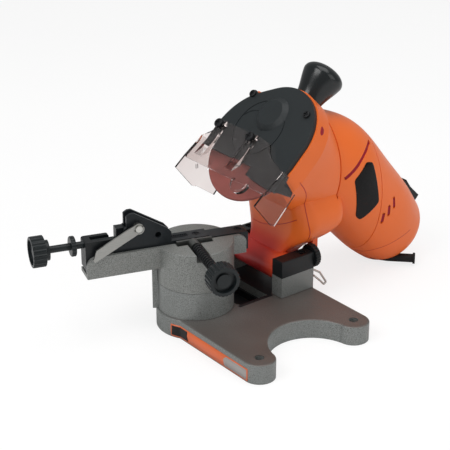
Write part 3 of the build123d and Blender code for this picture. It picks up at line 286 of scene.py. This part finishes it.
def housing_plastic(name):
    """Glossy orange moulding with faint sink marks, darker and redder low on the neck as painted
    shade and a painted red reflection.
    """
    finish = Finish(name, 0.3, Specular_IOR_Level=0.35)
    x, y, z = finish.axes()
    slow = finish.noise(9)
    base = finish.ramp(slow, [(0.3, toned(ORANGE, 0.95)), (0.7, toned(ORANGE, 1.05))])
    # Painted shade with a painted red reflection: deeper low on the neck, most of all at its
    # left.
    front = 1 - y.between(*NECK_SHADE_BACK_Y)
    low = (1 - z.between(*NECK_SHADE_LOW_Z)) * front
    left = (1 - z.between(*NECK_SHADE_LEFT_Z)) * (1 - x.between(*NECK_SHADE_LEFT_X)) * front
    warm = finish.mix(low * 0.8, base, NECK_SHADE_ORANGE)
    finish.color(finish.mix(left * 0.75, warm, NECK_SHADE_RED))
    finish.rough(finish.noise(120).spread(0.26, 0.40))
    return finish.raised(finish.noise(2200, 2), 0.02).raised(finish.noise(40, 2), 0.10)


def hammered(name, color, dark, reflected_brown=None):
    """Silver hammered paint on a die casting: bright flakes in a darker speckle; the brown is a
    painted reflection.
    """
    finish = Finish(name, 0.42, 0.3)
    x, _, z = finish.axes()
    speckle = finish.noise(1300, 4, 0.7)
    slow = finish.noise(14)
    flakes = finish.ramp(speckle, [(0.36, dark), (0.5, color), (0.66, toned(color, 1.35))])
    shaded = finish.mix(slow.between(0.35, 0.65) * 0.35, flakes, toned(color, 0.8))
    if reflected_brown is not None:
        # Painted reflection of the orange head: a brown tinge on the plate's upper face.
        top = z.between(*PLATE_RISE_Z) * (1 - z.between(*PLATE_FALL_Z))
        glow = top * finish.noise(16, 2).spread(0.35, 0.95) * x.between(*REFLECTION_X)
        shaded = finish.mix(glow, shaded, reflected_brown)
    finish.color(shaded)
    finish.rough(speckle.spread(0.30, 0.58))
    return finish.raised(finish.noise(700, 4, 0.6), 0.12).raised(speckle, 0.05)


def drawn_steel(name, color, rough=0.28, scale=(1, 1, 40), turn=(0, 0, 0)):
    """Bright steel with fine drawn or turned marks."""
    finish = Finish(name, rough, 1.0)
    marks = finish.noise(90, 5, 0.6, finish.drawn(scale, turn))
    finish.color(finish.ramp(marks, [(0.25, toned(color, 0.82)), (0.75, toned(color, 1.1))]))
    finish.rough(marks.spread(rough - 0.08, rough + 0.14))
    return finish.raised(marks, 0.02)


def blackened(name, color, rough=0.4):
    """Blackened steel with light handling wear."""
    finish = Finish(name, rough, 0.2, Specular_IOR_Level=0.35)
    wear = finish.noise(70, 6, 0.65)
    finish.color(finish.ramp(wear, [
        (0.35, color), (0.62, toned(color, 1.5)), (0.78, toned(color, 2.4)),
    ]))
    finish.rough(wear.spread(rough - 0.08, rough + 0.15))
    return finish.raised(finish.noise(1200), 0.04)


def vitrified(name):
    """Bonded grit: coloured grains and pores under a patchy dust."""
    finish = Finish(name, 0.85)
    grains = finish.cells(1700)
    body = finish.ramp(grains, [
        (0.1, toned(GRIT, 0.62)), (0.45, GRIT), (0.8, toned(GRIT, 1.35)),
    ])
    dust = finish.noise(60, 5, 0.6).between(0.42, 0.75) * 0.35
    finish.color(finish.mix(dust, body, toned(GRIT, 1.5)))
    return finish.raised(grains, 0.12).raised(finish.noise(900), 0.06)


def clear_moulding(name):
    """Clear guard: slightly warm, with flow marks and fine scratches."""
    finish = Finish(name, 0.08, Transmission_Weight=1.0, IOR=1.3)
    flow = finish.noise(30, 2)
    finish.color(finish.ramp(flow, [(0.3, screen(226, 217, 215)), (0.7, screen(236, 229, 227))]))
    scratches = finish.noise(220, 4, 0.6, finish.drawn((1, 5, 1)))
    finish.rough(scratches.spread(0.02, 0.14))
    return finish.raised(finish.noise(40, 2), 0.06)


def enamelled_wire(name):
    """Copper wire in rows, with a thin enamel."""
    finish = Finish(name, 0.35, 0.8)
    _, y, _ = finish.axes()
    wires = (y * 5200 + finish.noise(40) * 2).wave() * 0.5 + 0.5
    finish.color(finish.ramp(wires, [(0.2, screen(120, 60, 34)), (0.8, screen(196, 118, 76))]))
    return finish.raised(wires, 0.3)


# The last colour of cast_grey is the painted reflection of the orange head on the plate top.
cast_grey = hammered("cast_grey", screen(132, 135, 133), screen(84, 86, 84), screen(84, 72, 66))
vise_grey = hammered("vise_grey", screen(132, 134, 131), screen(84, 86, 84))
gear_alloy = hammered("gear_alloy", screen(160, 160, 158), screen(120, 120, 118))
black_mould = moulded("black_mould", screen(22, 25, 27), 0.38, Specular_IOR_Level=0.3)
cover_black = moulded("cover_black", screen(34, 39, 41), 0.46, 0.05, Specular_IOR_Level=0.35)
knob_black = moulded("knob_black", screen(22, 28, 30), 0.34, 0.02, Specular_IOR_Level=0.35)
grip_black = moulded("grip_black", screen(16, 22, 24), 0.22, 0.01, 0.05)
rubber_black = moulded("rubber_black", screen(20, 21, 23), 0.6, 0.05, Specular_IOR_Level=0.3)
plate_black = moulded("plate_black", screen(8, 7, 8), 0.25, 0.01, 0.04, Specular_IOR_Level=0.15)
# The slots' dark red is painted shade.
slot_crimson = moulded("slot_crimson", SHADE_CRIMSON, 0.5, Specular_IOR_Level=0.2)
# The crease beads' darker orange is painted shade.
crease_orange = moulded("crease_orange", CREASE_SHADE, 0.42)
label_orange = moulded("label_orange", screen(222, 108, 62), 0.35, 0.01, 0.04)
label_grey = moulded("label_grey", screen(160, 155, 152), 0.4, 0.01, 0.05)
label_black = moulded("label_black", screen(20, 18, 18), 0.35, 0.01, 0.04, Specular_IOR_Level=0.3)
mark_dark = moulded("mark_dark", screen(40, 40, 42), 0.5)
housing_orange = housing_plastic("housing_orange")
clear = clear_moulding("clear_moulding")
grit_red = vitrified("vitrified_grit")
bright_steel = drawn_steel("bright_steel", screen(205, 205, 200))
pawl_steel = drawn_steel("pawl_steel", screen(168, 168, 164), 0.36, (1, 1, 30), (0.6, 0, 0))
jaw_steel = drawn_steel("jaw_steel", screen(112, 114, 112), 0.42, (1, 30, 1))
screw_black = blackened("screw_black", screen(22, 23, 25))
rail_black = blackened("rail_black", screen(24, 28, 31), 0.34)
thread_black = blackened("thread_black", screen(30, 32, 34), 0.36)
winding = enamelled_wire("enamelled_wire")

FINISHES = {
    cast_grey: ("base_casting",),
    vise_grey: ("vise_turret",),
    gear_alloy: ("gear_plate",),
    # The dust tray is moulded black, and its black also stands in for the shade in the well.
    black_mould: ("dust_tray", "hinge_cap_left", "hinge_cap_right", "depth_wheel", "end_block",
                  "angle_lock_knob", "switch_frame", "switch_rocker"),
    knob_black: ("feed_screw", "clamp_screw", "lock_nut"),
    grip_black: ("handle",),
    cover_black: ("disc_cover",),
    housing_orange: ("front_housing", "rear_housing"),
    clear: ("shield",),
    grit_red: ("grinding_disc",),
    bright_steel: ("hinge_pin", "return_spring", "swivel_bolt", "lock_washer", "pawl_pin",
                   "spindle", "outer_flange", "spindle_nut", "drive_gear", "spindle_bearing",
                   "small_bearings", "armature", "field_stator"),
    jaw_steel: ("front_jaw",),
    pawl_steel: ("stop_pawl",),
    screw_black: ("cap_screws", "rail_screws", "cover_screws", "shield_screws", "clamp_spring"),
    rail_black: ("rail_body", "stop_carrier"),
    rubber_black: ("cord_guard",),
    winding: ("brush_holders",),
}
for used, names in FINISHES.items():
    for name in names:
        nodes[name].data.materials.clear()
        nodes[name].data.materials.append(used.material)


# ------------------------------------------------------------------ pieces
def settle(piece, body, slot):
    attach(piece, body)
    return piece


def mesh_piece(name, verts, faces, finish, body, slot, smooth=()):
    """A mesh piece in place; smooth lists the faces that are shaded smooth."""
    data = bpy.data.meshes.new(name)
    data.from_pydata([tuple(vert) for vert in verts], [], faces)
    data.update()
    for index in smooth:
        data.polygons[index].use_smooth = True
    data.materials.append(finish.material)
    return settle(placed(name, data), body, slot)


class Surface:
    """The outer surface of a CAD node, to lay things on."""

    def __init__(self, name):
        data = nodes[name].data
        self.tree = BVHTree.FromPolygons([vert.co.copy() for vert in data.vertices],
                                         [list(face.vertices) for face in data.polygons])

    def meet(self, start, way):
        """Where a ray meets the surface, and the normal there."""
        place, normal, _, _ = self.tree.ray_cast(Vector(start), Vector(way))
        if place is None:
            raise SystemExit(f"no surface under {tuple(start)}")
        return place, normal


def rounded_outline(corners, radius, steps=5):
    """A closed outline with its corners rounded."""
    points = []
    for i, corner in enumerate(corners):
        here = Vector(corner)
        before = (Vector(corners[i - 1]) - here).normalized()
        after = (Vector(corners[(i + 1) % len(corners)]) - here).normalized()
        a, b = here + before * radius, here + after * radius
        for k in range(steps + 1):
            t = k / steps
            points.append((1 - t) ** 2 * a + 2 * t * (1 - t) * here + t * t * b)
    return points


def smooth_line(points, steps=8):
    """Points on a smooth curve through the given ones."""
    points = [Vector(point) for point in points]
    ends = [2 * points[0] - points[1]] + points + [2 * points[-1] - points[-2]]
    line = []
    for a, b, c, d in zip(ends, ends[1:], ends[2:], ends[3:]):
        for k in range(steps):
            t = k / steps
            line.append(0.5 * (2 * b + (c - a) * t + (2 * a - 5 * b + 4 * c - d) * t * t
                               + (3 * b - a - 3 * c + d) * t ** 3))
    return line + [points[-1]]


def closed_sheet(name, tops, bottoms, finish, body, slot, outward):
    """A thin closed sheet from rows of points on its face and under it."""
    rows, across = len(tops), len(tops[0])
    under = rows * across
    verts = [point for row in tops + bottoms for point in row]
    faces, smooth = [], []

    def at(i, j):
        return i * across + j

    for i in range(rows - 1):
        for j in range(across - 1):
            smooth.append(len(faces))
            square = (at(i, j), at(i, j + 1), at(i + 1, j + 1), at(i + 1, j))
            faces.append(square)
            faces.append(tuple(under + square[k] for k in (0, 3, 2, 1)))
    rim = [at(0, j) for j in range(across)]
    rim += [at(i, across - 1) for i in range(1, rows)]
    rim += [at(rows - 1, j) for j in range(across - 2, -1, -1)]
    rim += [at(i, 0) for i in range(rows - 2, 0, -1)]
    for a, b in zip(rim, rim[1:] + rim[:1]):
        faces.append((b, a, under + a, under + b))
    piece = mesh_piece(name, verts, faces, finish, body, slot, smooth)
    facing = sum((piece.data.polygons[i].normal for i in smooth), Vector())
    if facing.dot(Vector(outward)) < 0:
        piece.data.flip_normals()
    return piece


# The share of an outline's length that is left off at each end, so that every row of
# a skin has some width.
END_SHARE = 0.002


def chords(outline, along, rows):
    """Both ends of the cuts across a closed outline, in rows along a direction."""
    along = Vector(along).normalized()
    side = Vector((-along.y, along.x))
    flat = [(Vector(p).dot(along), Vector(p).dot(side)) for p in outline]
    low, high = min(p[0] for p in flat), max(p[0] for p in flat)
    for i in range(rows):
        share = (1 - math.cos(math.pi * i / (rows - 1))) / 2
        level = low + (high - low) * (END_SHARE + (1 - 2 * END_SHARE) * share)
        cuts = []
        for (a, p), (b, q) in zip(flat, flat[1:] + flat[:1]):
            if (a - level) * (b - level) <= 0 and a != b:
                cuts.append(p + (q - p) * (level - a) / (b - a))
        yield along * level + side * min(cuts), along * level + side * max(cuts)


SUNK = 0.1 * MM


def skin(name, surface, outline, along, back, way, thick, finish, body, slot, grid):
    """A thin plate laid on a surface: an outline thrown onto it along a way.

    along gives the direction of the rows, back the start of the ray for a point of
    the outline, thick the height above the surface in mm, and grid the rows and the
    points in each."""
    rows, across = grid
    tops, bottoms = [], []
    for left, right in chords(outline, along, rows):
        hits = [surface.meet(back(left.lerp(right, j / (across - 1))), way)
                for j in range(across)]
        tops.append([place + normal * thick * MM for place, normal in hits])
        bottoms.append([place - normal * SUNK for place, normal in hits])
    return closed_sheet(name, tops, bottoms, finish, body, slot, -Vector(way))


# ------------------------------------------------------------------ grown pieces
class Growth(Tree):
    """A geometry tree with named inputs, for what repeats or follows a path."""

    def __init__(self, name, **inputs):
        super().__init__(bpy.data.node_groups.new(name, "GeometryNodeTree"), "GeometryNode")
        sockets = self.tree.interface
        sockets.new_socket("Geometry", in_out="INPUT", socket_type="NodeSocketGeometry")
        for label, (kind, value) in inputs.items():
            made = sockets.new_socket(label, in_out="INPUT", socket_type="NodeSocket" + kind)
            made.default_value = value
        sockets.new_socket("Finish", in_out="INPUT", socket_type="NodeSocketMaterial")
        sockets.new_socket("Geometry", in_out="OUTPUT", socket_type="NodeSocketGeometry")
        self.start = self.tree.nodes.new("NodeGroupInput")
        self.end = self.tree.nodes.new("NodeGroupOutput")

    def given(self, label):
        return Value(self, self.start.outputs[label])

    def swept(self, path, radius, resolution):
        """A round bar along a curve."""
        ring = self.add("CurvePrimitiveCircle", None, {
            "Resolution": resolution, "Radius": radius,
        })
        return self.add("CurveToMesh", None, {
            "Curve": path, "Profile Curve": ring, "Fill Caps": True,
        })

    def finish(self, geometry, smooth=True):
        if smooth:
            geometry = self.add("SetShadeSmooth", None, {"Geometry": geometry})
        whole = self.add("RealizeInstances", None, {"Geometry": geometry})
        painted = self.add("SetMaterial", None, {
            "Geometry": whole, "Material": self.given("Finish"),
        })
        self.feed(self.end.inputs[0], painted)
        return self

    def piece(self, name, body, slot, finish, place=Matrix(), points=(), **values):
        """Runs the tree on a line of points and leaves a plain mesh."""
        line = bpy.data.meshes.new(name + "_line")
        steps = [(i, i + 1) for i in range(len(points) - 1)]
        line.from_pydata([tuple(point) for point in points], steps, [])
        made = placed(name, line)
        grow = made.modifiers.new("grow", "NODES")
        grow.node_group = self.tree
        values["Finish"] = finish.material
        for item in self.tree.interface.items_tree:
            if item.in_out == "INPUT" and item.name in values:
                grow[item.identifier] = values[item.name]
        graph = bpy.context.evaluated_depsgraph_get()
        grown = bpy.data.meshes.new_from_object(made.evaluated_get(graph))
        made.modifiers.clear()
        made.data = grown
        grown.transform(place)
        grown.name = name
        return settle(made, body, slot)


def bead_growth():
    """A round bead along a line of points."""
    tree = Growth("bead", Radius=("Float", 0.0003))
    path = tree.add("MeshToCurve", None, {"Mesh": tree.given("Geometry")})
    return tree.finish(tree.swept(path, tree.given("Radius"), 10))


def thread_growth():
    """A screw thread: a round ridge wound on a rod along z."""
    tree = Growth("thread", Turns=("Float", 5.0), Rod=("Float", 0.003),
                  Ridge=("Float", 0.0002), Length=("Float", 0.005))
    coil = tree.add("CurveSpiral", None, {
        "Resolution": 24, "Rotations": tree.given("Turns"), "Start Radius": tree.given("Rod"),
        "End Radius": tree.given("Rod"), "Height": tree.given("Length"),
    })
    return tree.finish(tree.swept(coil, tree.given("Ridge"), 6))


def bar_growth():
    """A row of equal small bars."""
    tree = Growth("bars", Count=("Int", 5), Step=("Vector", (0.001, 0, 0)),
                  Size=("Vector", (0.001, 0.001, 0.001)))
    line = tree.add("MeshLine", None, {
        "Count": tree.given("Count"), "Offset": tree.given("Step"),
    })
    bar = tree.add("MeshCube", None, {"Size": tree.given("Size")})
    bars = tree.add("InstanceOnPoints", None, {"Points": line, "Instance": bar})
    return tree.finish(bars, smooth=False)


bead_tree, thread_tree, bar_tree = bead_growth(), thread_growth(), bar_growth()


# ------------------------------------------------------------------ marks on the housings
# Outlines and lines in mm, as up and axis values of the head.
MOTOR_PLATE = [(45.7, -77.5), (50.0, -86.0), (27.6, -118.2), (5.6, -118.6), (5.2, -111.0),
               (25.9, -75.3)]
MOTOR_PLATE_ROWS = (0.66, -0.75)
LONG_SLOT = [(63.9, -79.9), (53.7, -73.9), (40.3, -70.0), (29.0, -67.7), (22.0, -65.9)]
VENTS = [(37.0, -138.5), (28.2, -137.7), (19.5, -137.6)]
VENT_WAY = Vector((0.731, 0.682))
VENT_L = 8.2
VENT_STEPS = 6
RIM_SLOT = [(39.9, -3.2), (38.0, -6.3), (34.2, -6.4), (32.0, -3.7), (34.0, -1.7), (38.2, -1.6)]
SLOT_W = 3.2

# A dark red sheet of painted shade across its slot: the share of the half width, and the
# depth below the lips in mm. The lips lie a little outside the slot.
SLOT_SHADE_SECTION = ((-1.0, 0.05), (-0.97, 0.35), (-0.9, 0.5), (0.9, 0.5), (0.97, 0.35), (1.0, 0.05))
SLOT_SHADE_SECTION_T = 0.12
LIP = 1.14

# From how far to the right of the head the rays come.
HEAD_SIDE = 80

front_skin = Surface("front_housing")
rear_skin = Surface("rear_housing")


def beside(point):
    """A place to the right of the head, from up and axis values in mm."""
    return HEAD @ (Vector((HEAD_SIDE, point[0], point[1])) * MM)


def slot_shade(name, surface, line):
    """Painted shade in a moulded slot: a dark red sheet over both walls and the floor."""
    tops, bottoms = [], []
    for i, here in enumerate(line):
        ahead = (line[min(i + 1, len(line) - 1)] - line[max(i - 1, 0)]).normalized()
        side = Vector((-ahead.y, ahead.x)) * SLOT_W / 2
        (left, left_normal), (right, right_normal) = (
            surface.meet(beside(here + side * share), LEFTWARD) for share in (-LIP, LIP))
        aim = (left_normal + right_normal).normalized()
        row = [left.lerp(right, 0.5 + share / (2 * LIP)) - aim * deep * MM
               for share, deep in SLOT_SHADE_SECTION]
        tops.append(row)
        bottoms.append([point - aim * SLOT_SHADE_SECTION_T * MM for point in row])
    closed_sheet(name, tops, bottoms, slot_crimson, "head", "orange_plastic", (1, 0, 0))


skin("motor_plate", rear_skin, rounded_outline(MOTOR_PLATE, 2.6), MOTOR_PLATE_ROWS, beside,
     LEFTWARD, 0.30, plate_black, "head", "black_plastic", (40, 24))
# Dark red sheets of painted shade in the long slot and the vents.
slot_shade("long_slot_shade", rear_skin, smooth_line(LONG_SLOT))
for index, centre in enumerate(VENTS):
    slot_shade(f"vent_shade_{index}", rear_skin, [
        Vector(centre) + VENT_WAY * VENT_L / 2 * k / VENT_STEPS
        for k in range(-VENT_STEPS, VENT_STEPS + 1)
    ])
# A flat dark red sheet of painted shade where a small recess sits on the front housing.
skin("rim_slot_shade", front_skin, rounded_outline(RIM_SLOT, 1.2, 4), (1, 0), beside, LEFTWARD, 0.06,
     slot_crimson, "head", "orange_plastic", (10, 6))


# ------------------------------------------------------------------ creases
# Lines in mm beside the housing, the way they are thrown onto it, and the radius.
CREASES = {
    "neck_seam": (front_skin, [
        (54, 66.8, 129.2), (54, 75.4, 120.6), (54, 82.2, 111.7), (54, 87.0, 101.0),
        (54, 88.3, 90.7), (54, 90.1, 80.5), (54, 92.8, 70.7), (54, 94.0, 64.0),
    ], LEFTWARD, 0.5),
    "belly_front": (front_skin, [
        (-25, 60, 64.2), (-14, 60, 64.4), (-2, 60, 67.2), (9, 60, 71.0), (21, 60, 76.6),
        (33, 60, 83.4),
    ], BACKWARD, 0.5),
    "tail_crease": (rear_skin, [
        (70, 178.2, 17.9), (70, 184.1, 24.2), (70, 191.8, 29.0), (70, 202.5, 34.7),
        (70, 215.9, 39.7),
    ], LEFTWARD, 0.4),
}
# How far back from its line a ray starts, and the share of the radius below the surface.
CREASE_RAY = 60
CREASE_SUNK = 0.5


def crease(name, surface, points, way, radius):
    """A moulded crease: a bead half sunk along a line thrown onto the housing, darker orange as
    painted shade.
    """
    way = Vector(way)
    line = []
    for point in smooth_line([Vector(p) * MM for p in points]):
        place, normal = surface.meet(point - way * CREASE_RAY * MM, way)
        line.append(place - normal * radius * CREASE_SUNK * MM)
    bead_tree.piece(name, "head", "orange_plastic", crease_orange, points=line,
                    Radius=radius * MM)


for name, line in CREASES.items():
    crease(name, *line)


# ------------------------------------------------------------------ label on the base
# Outlines in mm, as x and z values.
BAND = [(8.5, 0.8), (107, 0.8), (107, 12.0), (8.5, 12.0)]
BAND_END = [(77.2, 2.0), (105.6, 2.0), (105.6, 10.8), (79.6, 10.8), (75.8, 7.4)]
BAND_TAB = [(9.6, 2.0), (28.8, 2.0), (26.8, 6.2), (27.4, 10.8), (9.6, 10.8)]
BASE_FRONT = -60

base_skin = Surface("base_casting")


def before(point):
    """A place in front of the base, from x and z values in mm."""
    return Vector((point[0], BASE_FRONT, point[1])) * MM


def label(name, corners, radius, thick, finish, slot, along=(1, 0), grid=(48, 3)):
    skin(name, base_skin, rounded_outline(corners, radius, 3), along, before, BACKWARD, thick,
         finish, "base", slot, grid)


label("label_band", BAND, 0.6, 0.20, label_orange, "orange_plastic")
label("label_end", BAND_END, 0.8, 0.32, label_grey, "cast_alloy")
label("label_tab", BAND_TAB, 0.4, 0.32, label_black, "black_plastic", (0, 1), (14, 16))


# ------------------------------------------------------------------ black sheets of painted shade on the base plate
# Low and high corners in plan, in mm, at one height.
SHADE_SHEETS = {
    "tray_apron": ((-30.6, 57.6), (26.6, 88.0)),
    "tray_edge_right": ((26.6, 25.0), (29.6, 61.0)),
    "tray_edge_left": ((-29.6, 25.0), (-26.6, 61.0)),
}
SHADE_SHEETS_Z = (16.8, 17.4)


def slab(name, low, high, finish, body, slot):
    """A flat block between two corners in mm."""
    corners = [(x, y, z) for z in (low[2], high[2]) for y in (low[1], high[1])
               for x in (low[0], high[0])]
    faces = [(0, 2, 3, 1), (4, 5, 7, 6), (0, 1, 5, 4), (2, 6, 7, 3), (0, 4, 6, 2), (1, 3, 7, 5)]
    mesh_piece(name, [Vector(corner) * MM for corner in corners], faces, finish, body, slot)


# Black sheets of painted shade: under the neck behind the well, and along the well's sides.
for name, (low, high) in SHADE_SHEETS.items():
    slab(name, (*low, SHADE_SHEETS_Z[0]), (*high, SHADE_SHEETS_Z[1]), black_mould, "base", "black_plastic")


# ------------------------------------------------------------------ threads and bars
# The feed screw's axis in the vise, its threaded stretches as start and length, and
# its ridge, in mm. The pitch is 1 mm.
FEED_X, FEED_Z = -5.5, 85.5
FEED_THREADS = ((-109.0, 2.4), (-85.2, 15.5))
FEED_ROD_R = 2.95
FEED_RIDGE_R = 0.22


def shifted(base, *place):
    """A frame moved to a place in mm within it."""
    return base @ Matrix.Translation(Vector(place) * MM)


Z_TO_ARM = Matrix.Rotation(math.radians(-90), 4, "X")
for index, (start, length) in enumerate(FEED_THREADS):
    thread_tree.piece(f"feed_thread_{index}", "feed", "black_steel", thread_black,
                      shifted(VISE, FEED_X, start, FEED_Z) @ Z_TO_ARM, Turns=length,
                      Rod=FEED_ROD_R * MM, Ridge=FEED_RIDGE_R * MM, Length=length * MM)

bar_tree.piece("rail_serrations", "vise", "black_steel", rail_black,
               shifted(VISE, -6.5, -20.2, 78.4), Count=10, Step=(0, 1.6 * MM, 0),
               Size=(6.0 * MM, 0.7 * MM, 1.6 * MM))
MARK_SLANT = Matrix.Rotation(math.radians(-45), 4, "X")
bar_tree.piece("shield_marks", "shield_guard", "black_plastic", mark_dark,
               shifted(HEAD, -52.55, -37.3, 0.2) @ MARK_SLANT, Count=2,
               Step=(0, 1.9 * MM, 0), Size=(0.14 * MM, 0.6 * MM, 4.2 * MM))


# ------------------------------------------------------------------ floor and light
FLOOR_REACH = 6.0
FLOOR_DROP = 0.2 * MM
FLOOR_GLOW = 1.08
FLOOR_GLOW_SHARE = 0.72
FLOOR_GREYS = [(0.3, (0.84, 0.84, 0.84, 1)), (0.7, (0.86, 0.86, 0.86, 1))]
SKY_STRENGTH = 0.36
# Each lamp's place in metres, power in watts and width in metres.
LAMPS = {
    "key": ((0.1, -1.1, 1.3), 12, 0.9),
    "top": ((0.2, 0.3, 1.5), 9, 1.2),
    "side": ((1.4, 0.5, 0.7), 3.6, 1.0),
}
LAMP_AIM = Vector((0.02, 0.05, 0.08))


def lay_floor():
    """A pale floor that keeps its shadows and else runs into the background."""
    data = bpy.data.meshes.new("floor")
    corners = [(-1, -1), (1, -1), (1, 1), (-1, 1)]
    data.from_pydata([(x * FLOOR_REACH, y * FLOOR_REACH, 0) for x, y in corners], [],
                     [(0, 1, 2, 3)])
    floor = placed("floor", data)
    floor.location.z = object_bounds()[0].z - FLOOR_DROP
    finish = Finish("floor_white", 0.95)
    finish.color(finish.ramp(finish.noise(3, 2), FLOOR_GREYS))
    glow = finish.add("Emission", None, {"Color": WHITE, "Strength": FLOOR_GLOW})
    blend = finish.add("MixShader", None, {
        0: finish.seen() * FLOOR_GLOW_SHARE, 1: Value(finish, finish.shader.outputs[0]), 2: glow,
    })
    finish.feed(finish.tree.nodes["Material Output"].inputs["Surface"], blend)
    data.materials.append(finish.material)


def light_sky():
    """A dim even sky that looks plain white where it is seen."""
    world = bpy.data.worlds.new("studio")
    bpy.context.scene.world = world
    world.use_nodes = True
    sky = Tree(world.node_tree, "ShaderNode")
    given = sky.tree.nodes["Background"]
    given.inputs["Color"].default_value = WHITE
    given.inputs["Strength"].default_value = SKY_STRENGTH
    white = sky.add("Background", None, {"Color": WHITE, "Strength": 1.0})
    blend = sky.add("MixShader", None, {0: sky.seen(), 1: Value(sky, given.outputs[0]), 2: white})
    sky.feed(sky.tree.nodes["World Output"].inputs["Surface"], blend)


def hang_lamps():
    for name, (place, power, width) in LAMPS.items():
        light = bpy.data.lights.new(name, "AREA")
        light.energy = power
        light.size = width
        lamp = placed(name, light)
        lamp.location = place
        lamp.rotation_euler = (LAMP_AIM - Vector(place)).to_track_quat("-Z", "Y").to_euler()


lay_floor()
light_sky()
hang_lamps()
